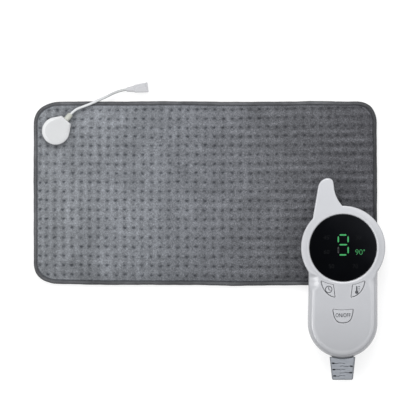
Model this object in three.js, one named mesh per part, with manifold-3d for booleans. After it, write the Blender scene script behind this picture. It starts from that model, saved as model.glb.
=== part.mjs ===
// Heating pad with a hand controller lying over one corner.
// Millimetres. Origin: middle of the pad's underside. +X along the pad's long side, +Y towards the lead, +Z up.
import * as THREE from "three";
import { mergeVertices } from "three/addons/utils/BufferGeometryUtils.js";
import ManifoldModule from "manifold-3d";

const wasm = await ManifoldModule();
wasm.setup();

// ---------------------------------------------------------------- driving dimensions
// pad
const PAD_LENGTH = 309;
const PAD_WIDTH = 165.6;
const PAD_CORNER_R = 20;
const BACK_Z = [0, 1.8];
const FELT_Z = [2.1, 3.5];
const WIRE_Z = 4.4;
const WIRE_R = 0.7;
const TOP_Z = [5.5, 8.0];
const COVER_RIM = 0.6; // thickness of the covers where they run into the binding
const BIND_WIDTH = 3.6;
const BIND_WALL = 1.0;
const BIND_Z = [0.3, 7.3];
const BIND_GROOVE_Z = [0.9, 6.4];
const BIND_ROUND = 1.5;
const SEW_GAP = 0.3;
const WIRE_PITCH = 14;
const WIRE_RUNS = 10;
// junction on the pad
const JUNCTION_X = -134.55;
const JUNCTION_Y = 56.07;
const JUNCTION_R = 12.4;
const JUNCTION_Z = [8.3, 14.4];
const JUNCTION_WALL = 1.3;
const SPOUT_ANGLE = 48; // degrees from +X
const SPOUT_WIDTH = 10.6;
const SPOUT_REACH = 13.4;
const JUNCTION_SLOPE_Z = 11.6; // where the cover's wall turns into the slope round its top
const JUNCTION_TOP = [9.6, 12.9, 4.4]; // top face: circle radius, spout reach, half width of the spout
const JUNCTION_BASE_R = 11.5;
const JUNCTION_BASE_Z = [3.9, 5.2];
const JUNCTION_HOLE_R = 9.8;
const JUNCTION_SCREW_R = 7.4; // radius of the screw circle
// lead and connector
const LEAD_D = 2.3;
const LEAD_Z = 10.8;
const COLLAR_LENGTH = 6;
const LEAD_ROUTE = [
  [-115.9, 75.6, 10.6], [-110.5, 77.8, 10.3], [-103.6, 80.4, 9.8], [-96.1, 83.7, 8.7], [-88.9, 87.0, 6.9],
  [-83.5, 89.7, 5.3], [-78.1, 91.8, 4.0],
];
const CONNECTOR_X = -71.2;
const CONNECTOR_Y = 93.3;
const CONNECTOR_Z = 3.45;
const CONNECTOR_ANGLE = 6.4;
const CONNECTOR_LENGTH = 19.8;
const CONTACT_Y = 1.65;
const COLLAR_R = [2.35, 2.25, 2.1];
// controller
const CTRL_X = 123.75;
const CTRL_Y = -48.96;
const CTRL_Z = 8.3;
const CTRL_H = 21.5;
const PART_Z = 9.6;
const PART_GAP = 0.15;
const WALL = 1.8;
const HEAD_R = 37.8;
const BODY_HALF = 31.05;
const BODY_END_Y = -67.1;
const ROLL = 7; // rolled front edge of the body
const HEAD_ROLL = 1.6; // the head and its horn are flat in front, with a small roll
const BACK_ROLL = 3.5;
const HORN_Z = [3.0, CTRL_H];
const LENS_R = 29.9;
const LENS_Z = [19.9, 20.9];
const LEDGE_Z = 19.7;
const WINDOW_BEVEL = 2.2;
const WINDOW_R = 28.2;
const HEAD_ROOF_Z = 18.2;
const KEY_GAP = 0.35;
const KEY_TOP_Z = 21.9;
const KEY_FLANGE_Z = [18.1, 19.4];
const BOARD_Z = [10.9, 12.5];
const SWITCH_Z = [12.7, 15.9];
const HOUSING_SCREWS = [
  [-28.7, 10.4],
  [28.7, 10.4],
  [-20, -66],
  [20, -66],
];
const TIMER_STEM = [-13.5, -37];
const TEMPERATURE_STEM = [13.5, -37];
const POWER_STEM = [0, -61.5];
// strain relief at the controller's tail
const RELIEF_Z = 9.6;
const RELIEF_END_Y = -118.8;
const RELIEF_W = [23, 18.7];
const RELIEF_T = [13.4, 10.4];
const RELIEF_SLOTS = [-103.8, -106.5, -109.5, -112.3, -115.2];
const RELIEF_SIDE = 1.3; // wall left beside each slot
const RELIEF_SLOT_PAST = 3.5; // how far a slot runs past the middle
const RELIEF_POCKET = 2.6;
const CORD_BORE_R = 3.1;

// outlines in the controller's own plane, from the middle of the display
const HORN = [
  [-27.8, 14], [-27.4, 24], [-26.7, 29.5], [-25.9, 34.4], [-25, 39.5], [-24.1, 44.7], [-23.2, 50.1], [-22.3, 54.2],
  [-20.8, 58.6], [-18, 61.8], [-14.2, 62.8], [-10.6, 61.4], [-8.8, 58], [-8.1, 53.7], [-7.2, 49.6], [-5.9, 46],
  [-4, 42.4], [-1.6, 39], [2.4, 35], [6, 28], [6, 14],
];
const TIMER_KEY = [
  [-20, -29.1], [-16.2, -30.9], [-12.2, -32.2], [-8.2, -33], [-6.6, -43.5], [-7.2, -44.8], [-8.4, -45], [-12, -43.3],
  [-15.2, -41], [-17.2, -38.5], [-18.9, -35.2], [-19.9, -31.5],
];
const TEMPERATURE_KEY = TIMER_KEY.map(([x, y]) => [-x, y]);
const POWER_KEY = [
  [-9.3, -54.8], [-4.7, -55.3], [0, -55.5], [4.7, -55.3], [9.3, -54.8], [9, -58.1], [8.2, -62.1], [6.1, -66],
  [3.2, -67.5], [0, -67.9], [-3.2, -67.5], [-6.1, -66], [-8.2, -62.1], [-9, -58.1],
];

// ---------------------------------------------------------------- materials
const paint = (color, roughness, metalness = 0) =>
  new THREE.MeshStandardMaterial({ color, roughness, metalness });
const PLUSH = paint(0x777a7f, 0.95);
const BINDING = paint(0x5e6063, 0.9);
const LINING = paint(0x8b8d90, 0.95);
const FELT = paint(0xe4e0d6, 0.95);
const SILICONE = paint(0xd9d4c8, 0.6);
const WHITE = paint(0xdedfe0, 0.4);
const CREAM = paint(0xd8d6c4, 0.5);
const LEAD = paint(0xd5dadd, 0.5);
const SHELL = paint(0xc4c5c9, 0.32);
const KEYS = paint(0xc9cace, 0.35);
const RELIEF = paint(0x969aa1, 0.6);
const GLOSS_BLACK = paint(0x0a0b0c, 0.08);
const BLACK = paint(0x1a1b1d, 0.5);
const BOARD = paint(0x1f6b3a, 0.5);
const STEEL = paint(0xa8abb0, 0.35, 1);
const BRASS = paint(0xc9a24a, 0.35, 1);
const BLUE = paint(0x2b5ea8, 0.5);
const AMBER = paint(0xb98a3c, 0.4);

// ---------------------------------------------------------------- helpers
function toSolid(geometry) {
  const source = geometry.index ? geometry.toNonIndexed() : geometry;
  const bare = new THREE.BufferGeometry().setAttribute("position", source.getAttribute("position"));
  const merged = mergeVertices(bare, 1e-4);
  const p = merged.attributes.position.array;
  const kept = [];
  let volume = 0;
  for (let i = 0; i < merged.index.count; i += 3) {
    const [a, b, c] = [merged.index.array[i], merged.index.array[i + 1], merged.index.array[i + 2]];
    if (a === b || b === c || a === c) continue;
    kept.push(a, b, c);
    const [A, B, C] = [a, b, c].map((k) => new THREE.Vector3(p[3 * k], p[3 * k + 1], p[3 * k + 2]));
    volume += A.dot(B.cross(C));
  }
  if (volume < 0) for (let i = 0; i < kept.length; i += 3) [kept[i + 1], kept[i + 2]] = [kept[i + 2], kept[i + 1]];
  return new wasm.Manifold(
    new wasm.Mesh({ numProp: 3, vertProperties: new Float32Array(p), triVerts: new Uint32Array(kept) }),
  );
}
function toGeometry(solid) {
  const mesh = solid.getMesh();
  const v = new Float32Array(mesh.numVert * 3);
  for (let i = 0; i < mesh.numVert; i++) v.set(mesh.vertProperties.subarray(i * mesh.numProp, i * mesh.numProp + 3), i * 3);
  const g = new THREE.BufferGeometry();
  g.setAttribute("position", new THREE.BufferAttribute(v, 3));
  g.setIndex(new THREE.BufferAttribute(new Uint32Array(mesh.triVerts), 1));
  g.computeVertexNormals();
  return g;
}
const union = (...s) => s.reduce((a, b) => a.add(b));
const cut = (a, ...s) => s.reduce((x, b) => x.subtract(b), a);

function roundedRect(w, d, r, x = 0, y = 0) {
  const s = new THREE.Shape();
  s.absarc(x + w / 2 - r, y - d / 2 + r, r, -Math.PI / 2, 0);
  s.absarc(x + w / 2 - r, y + d / 2 - r, r, 0, Math.PI / 2);
  s.absarc(x - w / 2 + r, y + d / 2 - r, r, Math.PI / 2, Math.PI);
  s.absarc(x - w / 2 + r, y - d / 2 + r, r, Math.PI, 1.5 * Math.PI);
  return s;
}
const polygon = (points) => new THREE.Shape(points.map(([x, y]) => new THREE.Vector2(x, y)));
// a flat plate of the outline between two heights, with an optional rounded rim on both faces
function plate(shape, z0, z1, round = 0, segments = 3, curveSegments = 4) {
  const g = new THREE.ExtrudeGeometry(shape, {
    depth: z1 - z0 - 2 * round,
    bevelEnabled: round > 0,
    bevelThickness: round,
    bevelSize: round,
    bevelOffset: -round,
    bevelSegments: segments,
    curveSegments,
  });
  g.translate(0, 0, z0 + round);
  return toSolid(g);
}
function cylinder(r, z0, z1, x = 0, y = 0, sides = 16, rTop = r) {
  const g = new THREE.CylinderGeometry(rTop, r, z1 - z0, sides);
  g.rotateX(Math.PI / 2);
  g.translate(x, y, (z0 + z1) / 2);
  return toSolid(g);
}
function box(x0, x1, y0, y1, z0, z1) {
  const g = new THREE.BoxGeometry(x1 - x0, y1 - y0, z1 - z0);
  g.translate((x0 + x1) / 2, (y0 + y1) / 2, (z0 + z1) / 2);
  return toSolid(g);
}
// a closed body through level outlines with the same number of points
function stack(levels) {
  const v = [], f = [];
  const n = levels[0][0].length;
  levels.forEach(([points, z]) => points.forEach(([x, y]) => v.push(x, y, z)));
  for (let k = 0; k < levels.length - 1; k++) {
    for (let i = 0; i < n; i++) {
      const [a, b] = [k * n + i, k * n + ((i + 1) % n)];
      f.push(a, b, b + n, a, b + n, a + n);
    }
  }
  const top = (levels.length - 1) * n;
  for (let i = 1; i < n - 1; i++) f.push(0, i + 1, i, top, top + i, top + i + 1);
  const g = new THREE.BufferGeometry();
  g.setAttribute("position", new THREE.Float32BufferAttribute(v, 3));
  g.setIndex(f);
  return toSolid(g);
}
function lathe(profile, sides = 48) {
  const g = new THREE.LatheGeometry(profile.map(([r, z]) => new THREE.Vector2(r, z)), sides);
  g.rotateX(Math.PI / 2);
  return toSolid(g);
}
// quarter ellipse in the r-z plane from angle a0 to a1 (degrees)
function bend(r, z, rr, rz, a0, a1, n) {
  const out = [];
  for (let i = 0; i <= n; i++) {
    const a = THREE.MathUtils.degToRad(a0 + ((a1 - a0) * i) / n);
    out.push([r + rr * Math.cos(a), z + rz * Math.sin(a)]);
  }
  return out;
}
// each corner of a closed outline cut once, for a softer line
function soften(points, share = 0.25) {
  const out = [];
  points.forEach((p, i) => {
    const q = points[(i + 1) % points.length];
    out.push([p[0] + share * (q[0] - p[0]), p[1] + share * (q[1] - p[1])]);
    out.push([q[0] - share * (q[0] - p[0]), q[1] - share * (q[1] - p[1])]);
  });
  return out;
}
// a closed outline moved outwards by d (inwards when negative)
function offset(points, d) {
  const area = points.reduce((s, p, i) => {
    const q = points[(i + 1) % points.length];
    return s + p[0] * q[1] - q[0] * p[1];
  }, 0);
  const side = area > 0 ? 1 : -1;
  return points.map((p, i) => {
    const a = points[(i + points.length - 1) % points.length];
    const b = points[(i + 1) % points.length];
    const n1 = new THREE.Vector2(p[1] - a[1], a[0] - p[0]).normalize().multiplyScalar(side);
    const n2 = new THREE.Vector2(b[1] - p[1], p[0] - b[0]).normalize().multiplyScalar(side);
    const m = n1.clone().add(n2).normalize();
    const k = d / Math.max(0.5, m.dot(n1));
    return [p[0] + m.x * k, p[1] + m.y * k];
  });
}
// a path through given points, with one ring of the section at each point
class Route extends THREE.Curve {
  constructor(points) {
    super();
    this.points = points;
  }
  getPoint(t) {
    const f = t * (this.points.length - 1);
    const i = Math.min(Math.floor(f), this.points.length - 2);
    return this.points[i].clone().lerp(this.points[i + 1], f - i);
  }
  getSpacedPoints() {
    return this.points;
  }
  computeFrenetFrames() {
    const up = new THREE.Vector3(0, 0, 1);
    const tangents = [], normals = [], binormals = [];
    const n = this.points.length;
    for (let i = 0; i < n; i++) {
      const a = this.points[Math.max(0, i - 1)], b = this.points[Math.min(n - 1, i + 1)];
      const t = b.clone().sub(a).normalize();
      const side = up.clone().cross(t).normalize();
      tangents.push(t);
      normals.push(side);
      binormals.push(t.clone().cross(side).normalize());
    }
    return { tangents, normals, binormals };
  }
}
function strand(points, r, sides) {
  const ring = [];
  for (let i = 0; i < sides; i++) ring.push(new THREE.Vector2(r * Math.cos((2 * Math.PI * i) / sides), r * Math.sin((2 * Math.PI * i) / sides)));
  return toSolid(
    new THREE.ExtrudeGeometry(new THREE.Shape(ring), {
      steps: points.length - 1,
      bevelEnabled: false,
      extrudePath: new Route(points),
    }),
  );
}

const root = new THREE.Group();
root.name = "heating_pad_with_controller";
function put(name, solid, material, group = root) {
  const mesh = new THREE.Mesh(toGeometry(solid), material);
  mesh.name = name;
  group.add(mesh);
  return mesh;
}

// ---------------------------------------------------------------- pad
const padOutline = (inset) => roundedRect(PAD_LENGTH - 2 * inset, PAD_WIDTH - 2 * inset, PAD_CORNER_R - inset);
const coverIn = BIND_WIDTH + SEW_GAP;
const rimIn = BIND_WALL + SEW_GAP;

put(
  "back_cover",
  union(plate(padOutline(coverIn), BACK_Z[0], BACK_Z[1]), plate(padOutline(rimIn), BACK_Z[1] - COVER_RIM, BACK_Z[1])),
  LINING,
);
put(
  "top_cover",
  cut(
    union(plate(padOutline(coverIn), TOP_Z[0], TOP_Z[1], 0), plate(padOutline(rimIn), TOP_Z[0], TOP_Z[0] + COVER_RIM)),
    cylinder(JUNCTION_HOLE_R, TOP_Z[0] - 1, TOP_Z[1] + 1, JUNCTION_X, JUNCTION_Y, 24),
  ),
  PLUSH,
);
put(
  "edge_binding",
  cut(
    plate(padOutline(0), BIND_Z[0], BIND_Z[1], BIND_ROUND, 2),
    plate(padOutline(BIND_WIDTH), BIND_Z[0] - 1, BIND_Z[1] + 1),
    plate(padOutline(BIND_WALL), BIND_GROOVE_Z[0], BIND_GROOVE_Z[1]),
  ),
  BINDING,
);
put(
  "wire_felt",
  cut(
    plate(padOutline(rimIn), FELT_Z[0], FELT_Z[1]),
    cylinder(JUNCTION_BASE_R + 0.8, FELT_Z[0] - 1, FELT_Z[1] + 1, JUNCTION_X, JUNCTION_Y, 24),
  ),
  FELT,
);

// the wire runs back and forth along the pad, its two ends come back to the junction
const wire = [];
const wirePoint = (x, y) => wire.push(new THREE.Vector3(x, y, WIRE_Z));
const wireArc = (cx, cy, r, a0, a1, n = 6) => {
  for (let i = 0; i <= n; i++) {
    const a = THREE.MathUtils.degToRad(a0 + ((a1 - a0) * i) / n);
    wirePoint(cx + r * Math.cos(a), cy + r * Math.sin(a));
  }
};
const runTop = (WIRE_PITCH * (WIRE_RUNS - 1)) / 2;
const WIRE_IN_Y = JUNCTION_Y + 2;
const WIRE_OUT_X = JUNCTION_X - 4;
wirePoint(JUNCTION_X + 4.6, WIRE_IN_Y);
wirePoint(-119, WIRE_IN_Y);
wirePoint(-112, 61.4);
wirePoint(-105, runTop);
for (let k = 0; k < WIRE_RUNS - 1; k++) {
  const y = runTop - WIRE_PITCH * k;
  if (k % 2 === 0) wireArc(136, y - WIRE_PITCH / 2, WIRE_PITCH / 2, 90, -90);
  else wireArc(k === 1 ? -110 : -121, y - WIRE_PITCH / 2, WIRE_PITCH / 2, 90, 270);
}
wireArc(WIRE_OUT_X + 7, -runTop + 7, 7, 270, 180, 4);
wirePoint(WIRE_OUT_X, JUNCTION_Y - 4.6);
put("heating_wire", strand(wire, WIRE_R, 6), SILICONE);

// sensor and cut-out sit between two runs
put("temperature_sensor", cylinder(1.1, 3.8, 5.2, 20, 0, 12), BLACK);
{
  const g = new THREE.CylinderGeometry(0.75, 0.75, 11, 12);
  g.rotateZ(Math.PI / 2);
  g.translate(-40, 0, 4.55);
  put("thermal_cutout", toSolid(g), STEEL);
}

// ---------------------------------------------------------------- junction
const junctionAt = (solid) => solid.translate([JUNCTION_X, JUNCTION_Y, 0]);
const screwAngles = [80, 200, 320];
const screwSpot = (a) => [JUNCTION_SCREW_R * Math.cos(THREE.MathUtils.degToRad(a)), JUNCTION_SCREW_R * Math.sin(THREE.MathUtils.degToRad(a))];
const along = (solid) => solid.rotate([0, 0, SPOUT_ANGLE]);
// a circle and the end of the spout, joined by flanks that touch the circle
function coverLine(r, reach, half, n = 30) {
  const touch = Math.atan2(half, reach) + Math.acos(r / Math.hypot(reach, half));
  const line = [[reach, -half], [reach, half]];
  for (let i = 0; i <= n; i++) {
    const a = touch + ((2 * Math.PI - 2 * touch) * i) / n;
    line.push([r * Math.cos(a), r * Math.sin(a)]);
  }
  return line;
}
{
  const bosses = screwAngles.map((a) => cylinder(1.75, 5.4, JUNCTION_Z[1] - 1, ...screwSpot(a), 12));
  const pilots = screwAngles.map((a) => cylinder(0.95, 5, 11, ...screwSpot(a), 10));
  const foot = coverLine(JUNCTION_R, SPOUT_REACH, SPOUT_WIDTH / 2);
  const outer = along(stack([[foot, JUNCTION_Z[0]], [foot, JUNCTION_SLOPE_Z], [coverLine(...JUNCTION_TOP), JUNCTION_Z[1]]]));
  const inFoot = coverLine(JUNCTION_R - JUNCTION_WALL, SPOUT_REACH - 1.4, SPOUT_WIDTH / 2 - 1.2);
  const inTop = coverLine(JUNCTION_TOP[0] - 1, JUNCTION_TOP[1] - 1.5, JUNCTION_TOP[2] - 1.2);
  const hollow = along(stack([[inFoot, JUNCTION_Z[0] - 1], [inFoot, JUNCTION_SLOPE_Z - 0.6], [inTop, JUNCTION_Z[1] - JUNCTION_WALL]]));
  const exit = new THREE.CylinderGeometry(1.75, 1.75, 8, 16);
  exit.rotateZ(Math.PI / 2);
  exit.translate(SPOUT_REACH, 0, LEAD_Z);
  put("junction_cover", junctionAt(cut(union(cut(outer, hollow), ...bosses), ...pilots, along(toSolid(exit)))), WHITE);

  const holes = screwAngles.map((a) => cylinder(1.05, 3, 6, ...screwSpot(a), 10));
  const posts = [cylinder(0.9, 5, 9.1, -3.2, -2, 10), cylinder(0.9, 5, 9.1, 3.2, 2.4, 10)];
  put(
    "junction_base",
    junctionAt(
      cut(
        union(cylinder(JUNCTION_BASE_R, JUNCTION_BASE_Z[0], JUNCTION_BASE_Z[1], 0, 0, 32), ...posts),
        ...holes,
        box(4.1, 14, WIRE_IN_Y - JUNCTION_Y - 1.1, WIRE_IN_Y - JUNCTION_Y + 1.1, 3, 5.21),
        box(-5.1, -2.9, -14, -4.1, 3, 5.21),
      ),
    ),
    WHITE,
  );
  screwAngles.forEach((a, i) =>
    put(
      "junction_screw_" + (i + 1),
      junctionAt(union(cylinder(1.9, 2.5, 3.7, ...screwSpot(a), 12), cylinder(0.8, 3.6, 10, ...screwSpot(a), 8))),
      STEEL,
    ),
  );
  put("terminal_board", junctionAt(cylinder(5.2, 9.3, 10.3, 0, 0, 24)), BOARD);
  const fuse = new THREE.CylinderGeometry(1.0, 1.0, 6.4, 12);
  fuse.rotateZ(Math.PI / 2);
  fuse.translate(0, 0, 11.6);
  put("thermal_fuse", junctionAt(along(toSolid(fuse))), AMBER);

  // collar: a neck in the spout's end wall and a tapered sleeve outside it
  const sleeve = lathe(
    [[0, SPOUT_REACH - 3], [1.5, SPOUT_REACH - 3], [1.5, SPOUT_REACH + 0.3], [COLLAR_R[0], SPOUT_REACH + 0.3],
      [COLLAR_R[1], SPOUT_REACH + 4], [COLLAR_R[2], SPOUT_REACH + 0.3 + COLLAR_LENGTH], [0, SPOUT_REACH + 0.3 + COLLAR_LENGTH]],
    16,
  ).rotate([0, 90, 0]).translate([0, 0, LEAD_Z]);
  put("lead_collar", junctionAt(along(sleeve)), CREAM);
}

// ---------------------------------------------------------------- lead and connector
const spout = new THREE.Vector3(Math.cos(THREE.MathUtils.degToRad(SPOUT_ANGLE)), Math.sin(THREE.MathUtils.degToRad(SPOUT_ANGLE)), 0);
const connectorDir = new THREE.Vector3(Math.cos(THREE.MathUtils.degToRad(CONNECTOR_ANGLE)), Math.sin(THREE.MathUtils.degToRad(CONNECTOR_ANGLE)), 0);
{
  const start = new THREE.Vector3(JUNCTION_X, JUNCTION_Y, LEAD_Z).addScaledVector(spout, SPOUT_REACH + 0.6 + COLLAR_LENGTH);
  const end = new THREE.Vector3(CONNECTOR_X, CONNECTOR_Y, CONNECTOR_Z).addScaledVector(connectorDir, -0.3);
  const curve = new THREE.CatmullRomCurve3([
    start,
    start.clone().addScaledVector(spout, 2.5),
    ...LEAD_ROUTE.map((p) => new THREE.Vector3(...p)),
    end.clone().addScaledVector(connectorDir, -1.5),
    end,
  ], false, "centripetal");
  put("pad_lead", strand(curve.getSpacedPoints(22), LEAD_D / 2, 10), LEAD);

  const L = CONNECTOR_LENGTH;
  const mirrored = (half) => polygon([...half.map(([x, h]) => [x, -h]), ...half.slice().reverse()]);
  const plan = mirrored([[0, 1.5], [0.8, 1.6], [6.6, 2.35], [7.2, 2.45], [8.0, 3.1], [L - 0.6, 4.4], [L, 4.1]]);
  const side = mirrored([[0, 1.45], [0.8, 1.55], [6.6, 2.2], [7.2, 2.3], [8.0, 2.75], [L - 0.6, 3.4], [L, 3.1]]);
  const body = plate(plan, -5, 5).intersect(plate(side, -5, 5).rotate([90, 0, 0]));
  const hole = (y) => cylinder(1.3, 0, 9, 0, 0, 16).rotate([0, 90, 0]).translate([L - 8.4, y, 0]);
  const group = new THREE.Group();
  group.position.set(CONNECTOR_X, CONNECTOR_Y, CONNECTOR_Z);
  group.rotation.z = THREE.MathUtils.degToRad(CONNECTOR_ANGLE);
  root.add(group);
  put("connector_housing", cut(body, hole(-CONTACT_Y), hole(CONTACT_Y)), WHITE, group);
  [-CONTACT_Y, CONTACT_Y].forEach((y, i) => {
    const sleeve = cut(cylinder(1.05, 0, 7, 0, 0, 14), cylinder(0.6, 1.2, 8, 0, 0, 12));
    put("connector_contact_" + (i + 1), sleeve.rotate([0, 90, 0]).translate([L - 8.0, y, 0]), BRASS, group);
  });
}

// ---------------------------------------------------------------- controller
const controller = new THREE.Group();
controller.name = "controller";
controller.position.set(CTRL_X, CTRL_Y, CTRL_Z);
root.add(controller);

function stadium(half, endY = BODY_END_Y) {
  const s = new THREE.Shape();
  s.moveTo(half, 5);
  s.lineTo(-half, 5);
  s.absarc(0, endY, half, Math.PI, 2 * Math.PI);
  return s;
}
const headOuter = lathe([
  [0, 0], ...bend(HEAD_R - BACK_ROLL, BACK_ROLL, BACK_ROLL, BACK_ROLL, -90, 0, 2),
  ...bend(HEAD_R - HEAD_ROLL, CTRL_H - HEAD_ROLL, HEAD_ROLL, HEAD_ROLL, 0, 90, 3), [0, CTRL_H],
], 48);
const headInner = lathe([
  [0, WALL], ...bend(HEAD_R - BACK_ROLL, BACK_ROLL, BACK_ROLL - WALL, BACK_ROLL - WALL, -90, 0, 1),
  [HEAD_R - WALL, HEAD_ROOF_Z - 0.8], [HEAD_R - WALL - 0.8, HEAD_ROOF_Z], [0, HEAD_ROOF_Z],
], 32);
const hornLine = HORN;
const hornIn = offset(hornLine, -WALL);
const above = box(-60, 60, -140, 80, PART_Z + PART_GAP, 40);
const below = box(-60, 60, -140, 80, -20, PART_Z - PART_GAP);
const upperOuter = union(
  headOuter,
  plate(stadium(BODY_HALF), -8, CTRL_H, ROLL, 4, 9),
  plate(polygon(hornLine), -4, HORN_Z[1], HEAD_ROLL, 2),
).intersect(above);
const lowerOuter = union(
  headOuter,
  plate(stadium(BODY_HALF), 0, CTRL_H + 6, BACK_ROLL, 2, 9),
  plate(polygon(hornLine), HORN_Z[0], 30, 2.5, 2),
).intersect(below);
const bodyInnerUp = cut(plate(stadium(BODY_HALF - WALL), -8, CTRL_H - WALL, ROLL - WALL, 2, 7), cylinder(31.6, -20, 40, 0, 0, 36));
const bodyInnerLow = plate(stadium(BODY_HALF - WALL), WALL, CTRL_H + 6, BACK_ROLL - WALL, 1, 7);
const hornHollowUp = plate(polygon(hornIn), -4, HEAD_ROOF_Z);
const hornHollowLow = plate(polygon(hornIn), HORN_Z[0] + WALL, 30);
const neckHole = box(-7.8, 7.8, -104, -88, RELIEF_Z - 4.5, RELIEF_Z + 4.5);

// front half: keys, window and screw posts
{
  const posts = HOUSING_SCREWS.map(([x, y], i) => cylinder(2.7, 12.8, i < 2 ? HEAD_ROOF_Z + 0.6 : CTRL_H - WALL + 0.5, x, y, 16));
  const pilots = HOUSING_SCREWS.map(([x, y]) => cylinder(1.2, 12, 17.2, x, y, 12));
  const keyHoles = [TIMER_KEY, TEMPERATURE_KEY, POWER_KEY].map((k) => plate(polygon(offset(soften(k), KEY_GAP)), 17, 26));
  put(
    "front_shell",
    cut(
      union(cut(upperOuter, headInner, bodyInnerUp, hornHollowUp), ...posts),
      ...pilots,
      ...keyHoles,
      cylinder(WINDOW_R, 15, 30, 0, 0, 40),
      cylinder(LENS_R + 0.3, LEDGE_Z, 30, 0, 0, 44),
      cylinder(LENS_R + 0.3, LENS_Z[1], CTRL_H + 0.3, 0, 0, 44, LENS_R + 0.3 + 1.5 * WINDOW_BEVEL),
      neckHole,
    ),
    SHELL,
    controller,
  );
}
// back half: screw posts and clamp posts
{
  const posts = HOUSING_SCREWS.flatMap(([x, y]) => [cylinder(4, 0.6, 5, x, y, 20), cylinder(2.9, 4.9, BOARD_Z[0] - 0.2, x, y, 16)]);
  const holes = HOUSING_SCREWS.flatMap(([x, y]) => [cylinder(1.5, -1, 12, x, y, 12), cylinder(2.7, -1, 2.7, x, y, 18)]);
  const clampPosts = [-8, 8].map((x) => cylinder(2.4, 1.2, 12.5, x, -88.5, 14));
  const clampPilots = [-8, 8].map((x) => cylinder(1.15, 7, 13, x, -88.5, 10));
  put(
    "back_shell",
    cut(
      union(cut(lowerOuter, headInner, bodyInnerLow, hornHollowLow, neckHole), ...posts, ...clampPosts),
      ...holes,
      ...clampPilots,
    ),
    SHELL,
    controller,
  );
}
HOUSING_SCREWS.forEach(([x, y], i) =>
  put("housing_screw_" + (i + 1), union(cylinder(2.4, 0.8, 2.5, x, y, 12), cylinder(1.0, 2.4, 16.6, x, y, 8)), STEEL, controller),
);

// display
put("display_lens", cylinder(LENS_R, LENS_Z[0], LENS_Z[1], 0, 0, 44), GLOSS_BLACK, controller);
put(
  "display_frame",
  cut(
    union(
      cylinder(27.6, 18.5, 19.8, 0, 0, 32),
      ...[[-18, 14], [18, 14], [0, -21]].map(([x, y]) => cylinder(1.6, 12.7, 18.7, x, y, 12)),
    ),
    box(-7.3, 7.3, -9.2, 14.5, 16, 24),
    box(9.5, 19.3, -7.4, -0.1, 16, 24),
  ),
  BLACK,
  controller,
);
put("led_digit_module", box(-7, 7, -8.9, 14.2, 12.7, 19.6), BLACK, controller);
put("led_timer_module", box(9.8, 19, -7.1, -0.4, 12.7, 19.6), BLACK, controller);

// board and what it carries
{
  put(
    "main_board",
    cut(
      union(cylinder(34, BOARD_Z[0], BOARD_Z[1], 0, 0, 36), plate(stadium(27, -57), BOARD_Z[0], BOARD_Z[1], 0, 1, 7)),
      ...HOUSING_SCREWS.map(([x, y]) => cylinder(1.6, 9, 14, x, y, 12)),
    ),
    BOARD,
    controller,
  );
}
function barAlongX(r, length, x, y, z, sides = 14) {
  const g = new THREE.CylinderGeometry(r, r, length, sides);
  g.rotateZ(Math.PI / 2);
  g.translate(x, y, z);
  return toSolid(g);
}
put("relay", box(-22, -7, -32, -13, 2.6, 10.7), BLUE, controller);
put("film_capacitor", box(5, 18, -22, -15, 2.9, 10.7), AMBER, controller);
put("fuse", barAlongX(2.6, 18, 12, -38, 8.0), WHITE, controller);
put("buzzer", cylinder(6, 5.2, 10.7, 0, 16, 24), BLACK, controller);
put("microcontroller", box(-22, -12, -16, -6, 12.7, 14.3), BLACK, controller);
put(
  "terminal_block",
  cut(box(-7.5, 7.5, -80, -70, 2.6, 10.7), box(-5.4, -1.2, -81, -74, 4.6, 8.8), box(1.2, 5.4, -81, -74, 4.6, 8.8)),
  BLUE,
  controller,
);

// keys, each with its switch on the board
function key(name, outline, [x, y]) {
  const line = soften(outline);
  const cap = plate(polygon(line), KEY_FLANGE_Z[0] + 0.4, KEY_TOP_Z, 0.35, 1);
  const flange = plate(polygon(offset(line, 0.9)), KEY_FLANGE_Z[0], KEY_FLANGE_Z[1]);
  put(name + "_key", union(cap, flange, cylinder(2.2, 17.0, KEY_FLANGE_Z[0] + 0.3, x, y, 14)), KEYS, controller);
  put(
    name + "_switch",
    cut(box(x - 3.1, x + 3.1, y - 3.1, y + 3.1, SWITCH_Z[0], SWITCH_Z[1]), cylinder(1.95, 13.4, 17, x, y, 14)),
    BLACK,
    controller,
  );
  put(name + "_plunger", cylinder(1.65, 14.2, 16.8, x, y, 14), STEEL, controller);
}
key("timer", TIMER_KEY, TIMER_STEM);
key("temperature", TEMPERATURE_KEY, TEMPERATURE_STEM);
key("power", POWER_KEY, POWER_STEM);

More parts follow.
